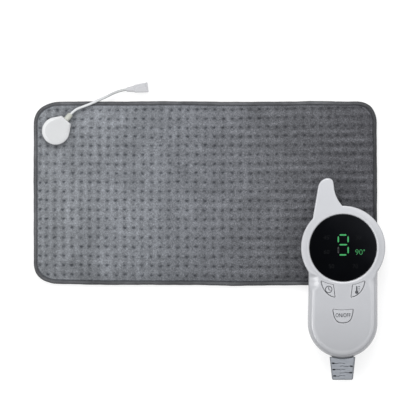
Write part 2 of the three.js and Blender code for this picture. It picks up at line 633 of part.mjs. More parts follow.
// strain relief with a through bore for the cord, held by its flange inside the wall
{
  const y0 = -92.0, y1 = RELIEF_END_Y;
  const plan = polygon([[-RELIEF_W[0] / 2, -92], [RELIEF_W[0] / 2, -92], [RELIEF_W[0] / 2, -99], [RELIEF_W[1] / 2, y1], [-RELIEF_W[1] / 2, y1], [-RELIEF_W[0] / 2, -99]]);
  const tall = plate(plan, RELIEF_Z - 20, RELIEF_Z + 20);
  // side outline in the y-z plane, swept across x
  const sideShape = polygon([[-92, -RELIEF_T[0] / 2], [-92, RELIEF_T[0] / 2], [-99, RELIEF_T[0] / 2], [y1, RELIEF_T[1] / 2], [y1, -RELIEF_T[1] / 2], [-99, -RELIEF_T[0] / 2]]);
  const across = plate(sideShape, -20, 20).rotate([90, 0, 0]).rotate([0, 0, 90]).translate([0, 0, RELIEF_Z]);
  const outside = cut(tall.intersect(across), cylinder(BODY_HALF + 0.4, -10, 40, 0, BODY_END_Y, 64), box(-30, 30, -92.5, -80, -20, 50));
  const neck = box(-7.4, 7.4, -99.5, y0 - 1, RELIEF_Z - 4.1, RELIEF_Z + 4.1);
  const flange = box(-9.5, 9.5, -93.9, y0, RELIEF_Z - 6, RELIEF_Z + 6);
  const bore = cylinder(CORD_BORE_R, -40, 5, 0, 0, 20).rotate([90, 0, 0]).translate([0, -125, RELIEF_Z]);
  // slots in the top and the underside, by turns from the left and the right, each with a deeper pocket at its outer end
  const slots = [];
  RELIEF_SLOTS.forEach((y, i) => {
    const hand = i % 2 === 0 ? -1 : 1;
    const half = THREE.MathUtils.mapLinear(y, -99, y1, RELIEF_W[0], RELIEF_W[1]) / 2 - RELIEF_SIDE;
    for (const [inner, depth] of [[-RELIEF_SLOT_PAST, 4.2], [half - RELIEF_POCKET, 1.4]]) {
      const [x0, x1] = [hand * inner, hand * half].sort((a, b) => a - b);
      slots.push(
        box(x0, x1, y - 0.6, y + 0.6, RELIEF_Z + depth, 40),
        box(x0, x1, y - 0.6, y + 0.6, -20, RELIEF_Z - depth),
      );
    }
  });
  put("strain_relief", cut(union(outside, neck, flange), ...slots, bore), RELIEF, controller);
}
put("cord_clamp", cut(box(-11, 11, -90.8, -86.2, 12.8, 14.8), cylinder(1.3, 10, 20, -8, -88.5, 12), cylinder(1.3, 10, 20, 8, -88.5, 12)), STEEL, controller);
[-8, 8].forEach((x, i) =>
  put("clamp_screw_" + (i + 1), union(cylinder(2.0, 15.0, 16.3, x, -88.5, 12), cylinder(0.95, 8, 15.1, x, -88.5, 8)), STEEL, controller),
);

export default root;
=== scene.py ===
import math

import bmesh
import bpy
import numpy as np
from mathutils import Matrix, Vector
from mathutils.geometry import delaunay_2d_cdt


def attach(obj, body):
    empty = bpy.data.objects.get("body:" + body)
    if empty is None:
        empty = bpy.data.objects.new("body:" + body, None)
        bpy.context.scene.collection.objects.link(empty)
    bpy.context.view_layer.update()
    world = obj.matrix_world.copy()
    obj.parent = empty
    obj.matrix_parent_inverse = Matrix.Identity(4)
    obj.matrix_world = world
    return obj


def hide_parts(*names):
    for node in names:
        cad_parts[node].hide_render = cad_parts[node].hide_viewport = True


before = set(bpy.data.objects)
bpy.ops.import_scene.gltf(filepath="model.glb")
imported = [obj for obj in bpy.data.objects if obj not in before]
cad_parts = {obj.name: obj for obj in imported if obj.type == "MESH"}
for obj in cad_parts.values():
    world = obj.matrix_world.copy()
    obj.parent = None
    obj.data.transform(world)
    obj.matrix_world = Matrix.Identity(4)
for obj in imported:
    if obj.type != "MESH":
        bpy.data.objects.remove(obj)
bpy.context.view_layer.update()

MM = 0.001

# ------------------------------------------------------------------ sizes, millimetres, as in the frame
PX = 0.9  # millimetres per picture point at the pad
PAD_L, PAD_W, PAD_R = 309.0, 165.6, 20.0
JX, JY, J_R = -134.55, 56.07, 12.4
J_Z0, J_SLOPE, J_Z1 = 8.3, 11.6, 14.4
J_TOP = (9.7, 13.3, 4.4, 5.3)  # top face of the junction: circle, spout reach, spout left and right of the lead
SPOUT_DEG, SPOUT_W, SPOUT_REACH = 48.0, 10.6, 13.4
LEAD_D, LEAD_Z = 2.3, 10.8
COLLAR_L = 6.0
LEAD_ROUTE = [
    (-115.9, 75.6, 10.6), (-110.5, 77.8, 10.3), (-103.6, 80.4, 9.8), (-96.1, 83.7, 8.7), (-88.9, 87.0, 6.9),
    (-83.5, 89.7, 5.3), (-78.1, 91.8, 4.0),
]
CON_X, CON_Y, CON_Z, CON_DEG, CON_L = -71.2, 93.3, 3.45, 6.4, 19.8
CX, CY, CZ = 123.75, -48.96, 8.3
CTRL_H, PART_Z, PART_GAP = 21.5, 9.6, 0.15
HEAD_R, BODY_HALF, END_Y = 37.8, 31.05, -67.1
END_AT, END_R = (-0.28, -67.67), 31.37  # the round end as it lies in the picture
ROLL, HEAD_ROLL, BACK_ROLL = 6.8, 1.5, 3.5
RELIEF_X, RELIEF_Z, RELIEF_END = -0.4, 9.6, -118.8
RELIEF_SLOTS = [-103.8, -106.5, -109.5, -112.3, -115.2]
CORD_BORE = 3.1
HORN = [
    (-27.6, 20.2), (-27.4, 24), (-26.7, 29.5), (-25.9, 34.4), (-25, 39.5), (-24.1, 44.7), (-23.2, 50.1), (-22.5, 54.0),
    (-21.8, 56.7), (-20.5, 59.0), (-17.9, 61.4), (-14.2, 62.6), (-11.2, 62.1), (-9.2, 60.4), (-8.5, 57.6), (-8.0, 53.6),
    (-7.2, 49.7), (-6.0, 46.2), (-4.2, 42.6), (-1.8, 39.2), (0.6, 36.5), (2.9, 34.1),
]
# key outlines: runs between sharp corners
TIMER = [
    [(-19.6, -29.4), (-16.2, -31.0), (-12.2, -32.3), (-8.6, -33.0)],
    [(-8.6, -33.0), (-7.9, -38.4), (-7.1, -44.4)],
    [(-7.1, -44.4), (-10.4, -43.5), (-13.8, -41.3), (-16.4, -38.5), (-18.3, -35.0), (-19.4, -31.6), (-19.6, -29.4)],
]
TEMPERATURE = [[(-x, y) for x, y in run] for run in TIMER]
TEMPERATURE = [run[::-1] for run in TEMPERATURE[::-1]]
POWER = [
    [(-9.1, -55.0), (-4.7, -55.6), (0, -55.8), (4.7, -55.6), (9.1, -55.0)],
    [
        (9.1, -55.0), (8.7, -58.2), (7.8, -61.9), (5.9, -65.5), (3.3, -67.0), (0, -67.4), (-3.3, -67.0), (-5.9, -65.5),
        (-7.8, -61.9), (-8.7, -58.2), (-9.1, -55.0),
    ],
]
SCREWS = [(-28.7, 10.4), (28.7, 10.4), (-20, -66), (20, -66)]


# ------------------------------------------------------------------ mesh helpers
def clean(me, merge=2e-6):
    bm = bmesh.new()
    bm.from_mesh(me)
    if merge:
        bmesh.ops.remove_doubles(bm, verts=bm.verts, dist=merge)
        bmesh.ops.dissolve_degenerate(bm, edges=bm.edges, dist=1e-7)
    bmesh.ops.recalc_face_normals(bm, faces=bm.faces)
    bm.to_mesh(me)
    bm.free()


def make(name, verts, faces, mat, body, angle=35, at=(0, 0, 0)):
    """A mesh piece from millimetre points, smooth except at edges sharper than angle, riding on a body."""
    me = bpy.data.meshes.new(name)
    pts = (np.asarray(verts, float) + np.asarray(at, float)) * MM
    me.from_pydata(pts.tolist(), [], [list(map(int, f)) for f in faces])
    me.validate()
    clean(me)
    return finish_mesh(name, me, mat, body, angle)


def finish_mesh(name, me, mat, body, angle=35):
    me.polygons.foreach_set("use_smooth", [True] * len(me.polygons))
    if angle:
        me.set_sharp_from_angle(angle=math.radians(angle))
    ob = bpy.data.objects.new(name, me)
    bpy.context.scene.collection.objects.link(ob)
    me.materials.append(mat)
    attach(ob, body)
    return ob


class Parts:
    """Collects several shapes into one mesh."""

    def __init__(self):
        self.v, self.f = [], []

    def add(self, verts, faces):
        k = len(self.v)
        self.v.extend([tuple(map(float, p)) for p in verts])
        self.f.extend([[i + k for i in f] for f in faces])
        return self


def loft(rings, cap0=True, cap1=True):
    """Quads between equal rings of points, with optional end caps."""
    n = len(rings[0])
    verts = [tuple(p) for r in rings for p in r]
    faces = []
    for i in range(len(rings) - 1):
        a, b = i * n, (i + 1) * n
        for j in range(n):
            k = (j + 1) % n
            faces.append([a + j, a + k, b + k, b + j])
    for on, base in ((cap0, 0), (cap1, (len(rings) - 1) * n)):
        if on:
            c = np.mean([verts[base + j] for j in range(n)], axis=0)
            verts.append(tuple(c))
            for j in range(n):
                faces.append([base + j, base + (j + 1) % n, len(verts) - 1])
    return verts, faces


def turned(profile, n=64):
    """A body of revolution about Z from (r, z) points; a point with r 0 is a pole."""
    rings = []
    for r, z in profile:
        r = max(r, 1e-4)
        rings.append([(r * math.cos(2 * math.pi * i / n), r * math.sin(2 * math.pi * i / n), z) for i in range(n)])
    return loft(rings, True, True)


def arc(cx, cy, rx, ry, a0, a1, n):
    return [
        (cx + rx * math.cos(math.radians(a0 + (a1 - a0) * i / n)), cy + ry * math.sin(math.radians(a0 + (a1 - a0) * i / n)))
        for i in range(n + 1)
    ]


def circle(r, n, x=0.0, y=0.0):
    return np.array([(x + r * math.cos(2 * math.pi * i / n), y + r * math.sin(2 * math.pi * i / n)) for i in range(n)])


def resample(points, step=None, count=None):
    """A closed line at even steps."""
    p = np.asarray(points, float)
    q = np.vstack([p, p[:1]])
    s = np.concatenate([[0], np.cumsum(np.linalg.norm(np.diff(q, axis=0), axis=1))])
    n = count or max(8, int(round(s[-1] / step)))
    t = np.arange(n) * s[-1] / n
    return np.stack([np.interp(t, s, q[:, k]) for k in range(p.shape[1])], axis=1)


def through(points, per=8):
    """Centripetal Catmull-Rom points through the given ones, both ends included."""
    p = [np.array(q, float) for q in points]
    p = [2 * p[0] - p[1]] + p + [2 * p[-1] - p[-2]]
    out = []
    for i in range(1, len(p) - 2):
        a, b, c, d = p[i - 1], p[i], p[i + 1], p[i + 2]
        t1 = np.linalg.norm(b - a) ** 0.5
        t2 = t1 + np.linalg.norm(c - b) ** 0.5
        t3 = t2 + np.linalg.norm(d - c) ** 0.5
        for k in range(per):
            t = t1 + (t2 - t1) * k / per
            a1 = (t1 - t) / t1 * a + t / t1 * b
            a2 = (t2 - t) / (t2 - t1) * b + (t - t1) / (t2 - t1) * c
            a3 = (t3 - t) / (t3 - t2) * c + (t - t2) / (t3 - t2) * d
            b1 = (t2 - t) / t2 * a1 + t / t2 * a2
            b2 = (t3 - t) / (t3 - t1) * a2 + (t - t1) / (t3 - t1) * a3
            out.append((t2 - t) / (t2 - t1) * b1 + (t - t1) / (t2 - t1) * b2)
    out.append(p[-2])
    return np.array(out)


def softened(p, reach):
    """A dense closed line with its corners rounded over about the given reach."""
    step = np.linalg.norm(np.diff(p, axis=0), axis=1).mean()
    k = max(1, int(round(3 * reach / step)))
    w = np.exp(-0.5 * (np.arange(-k, k + 1) * step / reach) ** 2)
    w /= w.sum()
    return sum(wi * np.roll(p, -i, axis=0) for wi, i in zip(w, range(-k, k + 1)))


def ccw(p):
    p = np.asarray(p, float)
    x, y = p[:, 0], p[:, 1]
    return p if np.sum(x * np.roll(y, -1) - np.roll(x, -1) * y) > 0 else p[::-1]


def normals(p):
    """Outward normals of a counter-clockwise closed line."""
    t = np.roll(p, -1, axis=0) - np.roll(p, 1, axis=0)
    t /= np.linalg.norm(t, axis=1, keepdims=True) + 1e-12
    return np.stack([t[:, 1], -t[:, 0]], axis=1)


def moved(p, d):
    return p + normals(p) * (np.asarray(d)[:, None] if np.ndim(d) else d)


def gap_to(line, pts):
    """Distance of each point from the points of a dense line."""
    out = np.full(len(pts), 1e9)
    for i in range(0, len(line), 64):
        d = np.linalg.norm(pts[:, None, :] - line[None, i : i + 64, :], axis=2).min(axis=1)
        out = np.minimum(out, d)
    return out


def drawn_in(p, d):
    """A closed line moved inwards with the same number of points; where a tight corner would fold over, the points close up instead."""
    q = moved(p, -d)
    dense = resample(p, step=0.15)
    bad = gap_to(dense, q) < d - 0.03
    if bad.any() and not bad.all():
        n = len(q)
        good = np.flatnonzero(~bad)
        at = np.arange(n)
        for k in range(2):
            q[:, k] = np.interp(at, np.concatenate([good - n, good, good + n]), np.tile(q[good, k], 3))
    return q


def inside(poly, pts):
    """Which points lie inside a closed polygon."""
    x, y = pts[:, 0], pts[:, 1]
    hit = np.zeros(len(pts), bool)
    a = np.asarray(poly)
    b = np.roll(a, -1, axis=0)
    for (x0, y0), (x1, y1) in zip(a, b):
        if y1 != y0:
            hit ^= ((y0 > y) != (y1 > y)) & (x < (x1 - x0) * (y - y0) / (y1 - y0) + x0)
    return hit


def sheet_between(outer, holes, step):
    """Triangles that fill a closed line except its holes: (points, triangles)."""
    loops = [np.asarray(outer)] + [np.asarray(h) for h in holes]
    lo, hi = loops[0].min(0), loops[0].max(0)
    xs, ys = np.arange(lo[0], hi[0], step), np.arange(lo[1], hi[1], step * 0.866)
    grid = np.array([(x + (0.5 * step if j % 2 else 0), y) for j, y in enumerate(ys) for x in xs])
    keep = inside(loops[0], grid)
    for h in loops[1:]:
        keep &= ~inside(h, grid)
    grid = grid[keep]
    for l in loops:
        grid = grid[gap_to(l, grid) > 0.55 * step]
    pts, edges = [], []
    for l in loops:
        k = len(pts)
        pts.extend(l.tolist())
        edges.extend([(k + i, k + (i + 1) % len(l)) for i in range(len(l))])
    pts.extend(grid.tolist())
    v, _, f, *_ = delaunay_2d_cdt([Vector(p) for p in pts], edges, [], 0, 1e-6)
    v = np.array([tuple(p) for p in v])
    f = np.array([list(t) for t in f])
    mid = v[f].mean(axis=1)
    ok = inside(loops[0], mid)
    for h in loops[1:]:
        ok &= ~inside(h, mid)
    return v, f[ok]


def rounded_rect(w, d, r, n=10):
    r = min(r, w / 2 - 0.02, d / 2 - 0.02)
    pts = []
    for cx, cy, a in ((w / 2 - r, -d / 2 + r, -90), (w / 2 - r, d / 2 - r, 0), (-w / 2 + r, d / 2 - r, 90), (-w / 2 + r, -d / 2 + r, 180)):
        pts += arc(cx, cy, r, r, a, a + 90, n)
    return np.array(pts)


def apply_modifiers(ob):
    dg = bpy.context.evaluated_depsgraph_get()
    me = bpy.data.meshes.new_from_object(ob.evaluated_get(dg), depsgraph=dg)
    ob.modifiers.clear()
    old = ob.data
    ob.data = me
    bpy.data.meshes.remove(old)


def cut_with(ob, verts, faces):
    """Takes a closed shape (millimetres, row frame) out of a piece."""
    me = bpy.data.meshes.new("cutter")
    me.from_pydata([(x * MM, y * MM, z * MM) for x, y, z in verts], [], faces)
    clean(me)
    tool = bpy.data.objects.new("cutter", me)
    bpy.context.scene.collection.objects.link(tool)
    m = ob.modifiers.new("cut", "BOOLEAN")
    m.operation, m.solver, m.object = "DIFFERENCE", "EXACT", tool
    bpy.context.view_layer.update()
    apply_modifiers(ob)
    bpy.data.objects.remove(tool)
    bpy.data.meshes.remove(me)


# ------------------------------------------------------------------ materials
def lin(r, g, b):
    f = lambda c: c / 12.92 if c <= 0.04045 else ((c + 0.055) / 1.055) ** 2.4
    return (f(r / 255), f(g / 255), f(b / 255), 1.0)


def paint(r, g, b):
    """A surface colour for the strength of the studio light."""
    return shade(lin(r, g, b), 0.77)


def shade(c, k):
    return (c[0] * k, c[1] * k, c[2] * k, 1.0)


def grey(k):
    return (k, k, k, 1.0)


class Mat:
    def __init__(self, name):
        self.m = bpy.data.materials.new(name)
        self.m.use_nodes = True
        self.nt = self.m.node_tree
        self.b = self.nt.nodes["Principled BSDF"]
        self.obj = self.node("ShaderNodeTexCoord").outputs["Object"]

    def node(self, kind, **props):
        n = self.nt.nodes.new(kind)
        for k, v in props.items():
            setattr(n, k, v)
        return n

    def link(self, a, b):
        self.nt.links.new(a, b)

    def set(self, **values):
        for k, v in values.items():
            self.b.inputs[k.replace("_", " ")].default_value = v
        return self

    def coords(self, scale=(1, 1, 1), rotate=0.0):
        n = self.node("ShaderNodeMapping")
        n.inputs["Scale"].default_value = scale
        n.inputs["Rotation"].default_value = (0, 0, rotate)
        self.link(self.obj, n.inputs["Vector"])
        return n.outputs[0]

    def axis(self, k):
        n = self.node("ShaderNodeSeparateXYZ")
        self.link(self.obj, n.inputs[0])
        return n.outputs[k]

    def noise(self, scale, detail=3.0, rough=0.55, vec=None, distortion=0.0):
        n = self.node("ShaderNodeTexNoise")
        n.inputs["Scale"].default_value = scale
        n.inputs["Detail"].default_value = detail
        n.inputs["Roughness"].default_value = rough
        n.inputs["Distortion"].default_value = distortion
        self.link(vec or self.obj, n.inputs["Vector"])
        return n.outputs[0]

    def ramp(self, fac, stops):
        n = self.node("ShaderNodeValToRGB")
        el = n.color_ramp.elements
        while len(el) < len(stops):
            el.new(0.5)
        for e, (p, c) in zip(el, stops):
            e.position = p
            e.color = c
        self.link(fac, n.inputs[0])
        return n.outputs[0]

    def range(self, fac, a, b, lo=0.0, hi=1.0):
        n = self.node("ShaderNodeMapRange")
        for k, v in zip((1, 2, 3, 4), (lo, hi, a, b)):
            n.inputs[k].default_value = v
        self.link(fac, n.inputs[0])
        return n.outputs[0]

    def math(self, op, a, b):
        n = self.node("ShaderNodeMath", operation=op)
        for i, x in enumerate((a, b)):
            if isinstance(x, (int, float)):
                n.inputs[i].default_value = x
            else:
                self.link(x, n.inputs[i])
        return n.outputs[0]

    def mix(self, fac, a, b, blend="MIX"):
        n = self.node("ShaderNodeMix", data_type="RGBA", blend_type=blend)
        for i, x in ((0, fac), (6, a), (7, b)):
            if isinstance(x, (int, float, tuple)):
                n.inputs[i].default_value = x
            else:
                self.link(x, n.inputs[i])
        return n.outputs[2]

    def times(self, color, factor):
        return self.mix(1.0, color, factor, "MULTIPLY")

    def attribute(self, name):
        return self.node("ShaderNodeAttribute", attribute_name=name).outputs["Fac"]

    def wall_shade(self, k):
        """Painted shade: a grey that is k on upright faces and white on faces that look up."""
        n = self.node("ShaderNodeSeparateXYZ")
        self.link(self.node("ShaderNodeNewGeometry").outputs["Normal"], n.inputs[0])
        return self.ramp(n.outputs[2], [(0.0, grey(k)), (0.35, grey(k + 0.25 * (1 - k))), (0.75, grey(1.0))])

    def slope_light(self, k):
        """Painted light: a grey that is k on gently sloping faces and white on level and upright ones."""
        n = self.node("ShaderNodeSeparateXYZ")
        self.link(self.node("ShaderNodeNewGeometry").outputs["Normal"], n.inputs[0])
        return self.ramp(n.outputs[2], [(0.4, grey(1.0)), (0.7, grey(k)), (0.94, grey(k)), (0.99, grey(1.0))])

    def bump(self, height, strength, distance):
        n = self.node("ShaderNodeBump")
        n.inputs["Strength"].default_value = strength
        n.inputs["Distance"].default_value = distance
        self.link(height, n.inputs["Height"])
        return n.outputs[0]

    def out(self, color=None, rough=None, normal=None):
        if color is not None:
            self.link(color, self.b.inputs["Base Color"])
        if rough is not None:
            self.link(rough, self.b.inputs["Roughness"])
        if normal is not None:
            self.link(normal, self.b.inputs["Normal"])
        return self.m


def plastic(name, c, rough=0.3, spread=0.05, grain=2600, grain_depth=0.000012, specular=0.5, coat=0.0, painted_light_fall=None, painted_shade_across=None, side=1.0, bevel=1.0):
    """Moulded plastic: faint flow mottling, fine surface texture and uneven gloss; the two tone tables along Y and X
    paint light and shade as slow changes of tone, side is painted shade on upright faces, bevel is painted light on
    gentle slopes.
    """
    m = Mat(name)
    m.set(Specular_IOR_Level=specular, Coat_Weight=coat, Coat_Roughness=0.06)
    flow = m.noise(26, 3, 0.5, distortion=0.6)
    color = m.ramp(flow, [(0.3, shade(c, 1 - spread)), (0.7, shade(c, 1 + spread))])
    # painted light and shade along Y
    if painted_light_fall:
        lo, hi = painted_light_fall[0][0], painted_light_fall[-1][0]
        t = m.range(m.axis(1), 0, 1, lo, hi)
        color = m.times(color, m.ramp(t, [((y - lo) / (hi - lo), grey(k)) for y, k in painted_light_fall]))
    # painted shade along X
    if painted_shade_across:
        lo, hi = painted_shade_across[0][0], painted_shade_across[-1][0]
        t = m.range(m.axis(0), 0, 1, lo, hi)
        color = m.times(color, m.ramp(t, [((x - lo) / (hi - lo), grey(k)) for x, k in painted_shade_across]))
    # painted shade on upright faces
    if side < 1:
        color = m.times(color, m.wall_shade(side))
    # painted light on gentle slopes
    if bevel > 1:
        color = m.times(color, m.slope_light(bevel))
    fine = m.noise(grain, 2, 0.6)
    smear = m.noise(160, 4, 0.65)
    r = m.range(smear, rough * 0.88, min(1.0, rough * 1.14), 0.3, 0.7)
    return m.out(color, r, m.bump(fine, 0.35, grain_depth))


def metal(name, c, rough=0.35):
    m = Mat(name)
    m.set(Metallic=1.0)
    brush = m.noise(900, 3, 0.6, m.coords((1, 8, 1)))
    color = m.ramp(brush, [(0.25, shade(c, 0.82)), (0.75, shade(c, 1.08))])
    return m.out(color, m.range(brush, rough * 0.8, rough * 1.25), m.bump(brush, 0.3, 0.00002))


def felt(name, c):
    m = Mat(name)
    m.set(Sheen_Weight=0.2, Sheen_Roughness=0.6)
    big, fine = m.noise(60, 4, 0.6), m.noise(1400, 4, 0.7)
    color = m.mix(0.5, m.ramp(big, [(0.3, shade(c, 0.85)), (0.7, shade(c, 1.1))]), m.ramp(fine, [(0.3, shade(c, 0.7)), (0.7, shade(c, 1.15))]))
    return m.out(color, m.range(fine, 0.85, 1.0), m.bump(fine, 0.8, 0.0004))


def plush_material():
    """Short brushed pile with pressed-in dimples: patchy nap, streaks where the pile lies over, painted shade in the
    pits and along the tape's seam, and a painted highlight just inside the seam.
    """
    m = Mat("plush_grey")
    m.set(Sheen_Weight=0.1, Sheen_Roughness=0.5, Sheen_Tint=(0.75, 0.78, 0.82, 1), Specular_IOR_Level=0.1)
    along = m.range(m.axis(0), 0, 1, -0.155, 0.155)
    drift = m.math("ADD", along, m.math("MULTIPLY", m.math("SUBTRACT", m.noise(14, 2, 0.5), 0.5), 0.14))
    # lighter on the left, darker on the right: partly the pile's own tone, partly painted light falling from the left
    pile_and_light_tone = m.ramp(
        drift,
        [(0.0, paint(135, 138, 142)), (0.22, paint(137, 140, 145)), (0.32, paint(132, 135, 140)), (0.52, paint(118, 120, 125)), (0.72, paint(103, 104, 108)), (1.0, paint(87, 87, 91))],
    )
    # darker towards the near edge
    pile_and_light_tone = m.times(pile_and_light_tone, m.ramp(m.range(m.axis(1), 0, 1, -0.083, -0.02), [(0.0, grey(0.76)), (0.4, grey(0.91)), (0.75, grey(1.0)), (1.0, grey(1.02))]))
    # patches of nap brushed different ways
    patch = m.noise(95, 5, 0.62, distortion=0.4)
    color = m.times(pile_and_light_tone, m.ramp(patch, [(0.25, grey(0.86)), (0.5, grey(1.0)), (0.78, grey(1.16))]))
    # bands where the pile lies over, set out with the dimples, with a painted highlight just inside the tape's seam
    color = m.times(color, m.ramp(m.attribute("nap"), [(0.0, grey(0.6)), (0.5, grey(1.0)), (1.0, grey(1.5))]))
    # tufts and single fibres
    tuft = m.noise(600, 3, 0.6)
    color = m.times(color, m.ramp(tuft, [(0.28, grey(0.72)), (0.72, grey(1.28))]))
    fibre = m.noise(1500, 4, 0.7)
    color = m.times(color, m.ramp(fibre, [(0.3, grey(0.7)), (0.7, grey(1.32))]))
    grain = m.math("MULTIPLY", m.math("SUBTRACT", m.noise(1000, 2, 0.6), 0.5), m.range(along, 0.85, 2.3))
    color = m.times(color, m.math("ADD", grain, 1.0))
    # painted shade in the dimples and along the tape's seam
    color = m.mix(m.attribute("pit_and_seam_shade"), color, m.times(color, (0.3, 0.31, 0.33, 1)))
    height = m.math("ADD", m.math("MULTIPLY", fibre, 0.7), m.math("MULTIPLY", tuft, 0.8))
    return m.out(color, m.range(patch, 0.9, 1.0), m.bump(height, 0.75, 0.0005))


def tape_material():
    """Woven edge tape: fine diagonal rib, uneven dye, painted light along the top of the roll and painted shade on its
    sides.
    """
    m = Mat("tape_dark_grey")
    m.set(Sheen_Weight=0.2, Sheen_Roughness=0.4, Specular_IOR_Level=0.2)
    c = paint(98, 99, 102)
    big = m.noise(120, 4, 0.6)
    rib = m.node("ShaderNodeTexWave", wave_type="BANDS", bands_direction="DIAGONAL")
    rib.inputs["Scale"].default_value = 620
    rib.inputs["Distortion"].default_value = 1.2
    m.link(m.obj, rib.inputs["Vector"])
    fine = m.noise(1800, 3, 0.6)
    color = m.ramp(big, [(0.25, shade(c, 0.7)), (0.75, shade(c, 1.22))])
    color = m.times(color, m.ramp(fine, [(0.25, grey(0.72)), (0.75, grey(1.26))]))
    # painted highlight on the crest of the roll, painted shade on its sides and underside
    color = m.times(color, m.ramp(m.attribute("painted_roll_light"), [(0.0, grey(0.36)), (0.5, grey(0.78)), (1.0, grey(1.3))]))
    # painted shade towards the right side, which faces away from the light, and darker towards the near side
    color = m.times(color, m.ramp(m.range(m.axis(0), 0, 1, 0.13, 0.153), [(0.0, grey(1.0)), (1.0, grey(0.46))]))
    color = m.times(color, m.ramp(m.range(m.axis(1), 0, 1, -0.083, -0.06), [(0.0, grey(0.78)), (1.0, grey(1.0))]))
    h = m.math("ADD", rib.outputs["Fac"], fine)
    return m.out(color, m.range(fine, 0.75, 0.95), m.bump(h, 0.55, 0.00018))


def lining_material():
    """Plain woven lining."""
    m = Mat("lining_grey")
    m.set(Sheen_Weight=0.1)
    c = paint(140, 142, 145)
    a = m.node("ShaderNodeTexWave", wave_type="BANDS", bands_direction="X")
    b = m.node("ShaderNodeTexWave", wave_type="BANDS", bands_direction="Y")
    for w in (a, b):
        w.inputs["Scale"].default_value = 420
        w.inputs["Distortion"].default_value = 0.8
        m.link(m.obj, w.inputs["Vector"])
    weave = m.math("MULTIPLY", a.outputs["Fac"], b.outputs["Fac"])
    color = m.mix(0.5, m.ramp(weave, [(0.0, shade(c, 0.7)), (1.0, shade(c, 1.1))]), m.ramp(m.noise(70, 4), [(0.3, shade(c, 0.85)), (0.7, shade(c, 1.1))]))
    return m.out(color, m.range(weave, 0.95, 0.8), m.bump(weave, 0.6, 0.0002))


def jacket_material():
    """Soft white cable jacket with faint greying, darker towards the connector end, and painted shade on its upright
    sides.
    """
    m = Mat("lead_jacket_white")
    m.set(Specular_IOR_Level=0.45)
    soil = m.noise(130, 4, 0.6)
    color = m.ramp(m.range(m.axis(0), 0, 1, -0.118, -0.075), [(0.0, paint(231, 233, 235)), (0.4, paint(229, 231, 233)), (0.75, paint(198, 200, 201)), (1.0, paint(194, 196, 196))])
    color = m.times(color, m.ramp(soil, [(0.25, grey(0.92)), (0.7, grey(1.04))]))
    # painted shade on the lead's upright sides
    color = m.times(color, m.wall_shade(0.75))
    return m.out(color, m.range(soil, 0.5, 0.36), m.bump(m.noise(3000, 2), 0.2, 0.00002))


def rubber_material():
    """Grey moulded rubber, faintly mottled, with painted shade along the sleeve's long edges and at its end."""
    m = Mat("relief_grey")
    m.set(Specular_IOR_Level=0.4)
    c = paint(154, 158, 165)
    color = m.ramp(m.noise(300, 3, 0.6, m.coords((0.5, 2.2, 1))), [(0.3, shade(c, 0.86)), (0.7, shade(c, 1.1))])
    out = m.math("ABSOLUTE", m.math("SUBTRACT", m.axis(0), (CX + RELIEF_X) * MM), 0.0)
    half = m.math("ADD", m.math("MULTIPLY", m.axis(1), 0.1086), 0.02757)
    # painted shade along the sleeve's long edges
    color = m.times(color, m.ramp(m.range(m.math("SUBTRACT", out, half), 0, 1, -0.0024, -0.0001), [(0.0, grey(1.0)), (0.4, grey(0.97)), (0.75, grey(0.7)), (1.0, grey(0.55))]))
    # painted shade at the sleeve's end
    color = m.times(color, m.ramp(m.range(m.axis(1), 0, 1, -0.1679, -0.1664), [(0.0, grey(0.62)), (1.0, grey(1.0))]))
    smear = m.noise(160, 4, 0.65)
    return m.out(color, m.range(smear, 0.45, 0.58, 0.3, 0.7), m.bump(m.noise(1800, 2, 0.6), 0.35, 0.00003))


def lens_material():
    """Polished black window with the faintest smear and a painted reflection brightening it towards the upper right."""
    m = Mat("window_black")
    m.set(Specular_IOR_Level=0.4, Coat_Weight=0.2, Coat_Roughness=0.02)
    smear = m.noise(42, 3, 0.5, distortion=0.5)
    # painted reflection: the black brightens towards the upper right
    painted_reflection_slant = m.range(m.math("ADD", m.axis(0), m.axis(1)), 0, 1, 0.045, 0.115)
    color = m.ramp(painted_reflection_slant, [(0.0, (0.0008, 0.0010, 0.0016, 1)), (0.5, (0.0016, 0.0019, 0.0027, 1)), (1.0, (0.0068, 0.0072, 0.0088, 1))])
    color = m.times(color, m.ramp(smear, [(0.3, grey(0.75)), (0.7, grey(1.25))]))
    return m.out(color, m.range(smear, 0.05, 0.09), m.bump(m.noise(8, 1), 0.05, 0.00002))


def glow_material(name, c, strength):
    m = Mat(name)
    m.set(Emission_Strength=strength, Roughness=0.4)
    n = m.noise(900, 2, 0.5)
    color = m.ramp(n, [(0.2, shade(c, 0.82)), (0.8, shade(c, 1.1))])
    m.link(color, m.b.inputs["Emission Color"])
    return m.out(m.ramp(n, [(0.2, shade(c, 0.1)), (0.8, shade(c, 0.15))]))


def print_material(name, c, rough=0.5):
    """Thin printed ink."""
    m = Mat(name)
    n = m.noise(2200, 3, 0.6)
    return m.out(m.ramp(n, [(0.25, shade(c, 0.8)), (0.75, shade(c, 1.25))]), m.range(n, rough, rough * 1.3))


# painted light and shade: lighter towards the head, darker towards the tail, as the light comes from the far side
PAINTED_LIGHT_FALL = [(-0.150, 0.66), (-0.144, 0.775), (-0.133, 0.84), (-0.120, 0.9), (-0.100, 0.975), (-0.085, 0.995), (-0.050, 1.015), (-0.015, 1.15), (0.015, 1.18)]
# painted shade: the right side of the head darker, away from the light on the left
PAINTED_SHADE_ACROSS = [(CX * MM + 0.024, 1.0), (CX * MM + 0.031, 0.94), (CX * MM + 0.038, 0.9)]
PLUSH, TAPE, LINING = plush_material(), tape_material(), lining_material()
THREAD = felt("thread_grey", paint(70, 71, 74))
FELT = felt("felt_cream", paint(228, 224, 214))
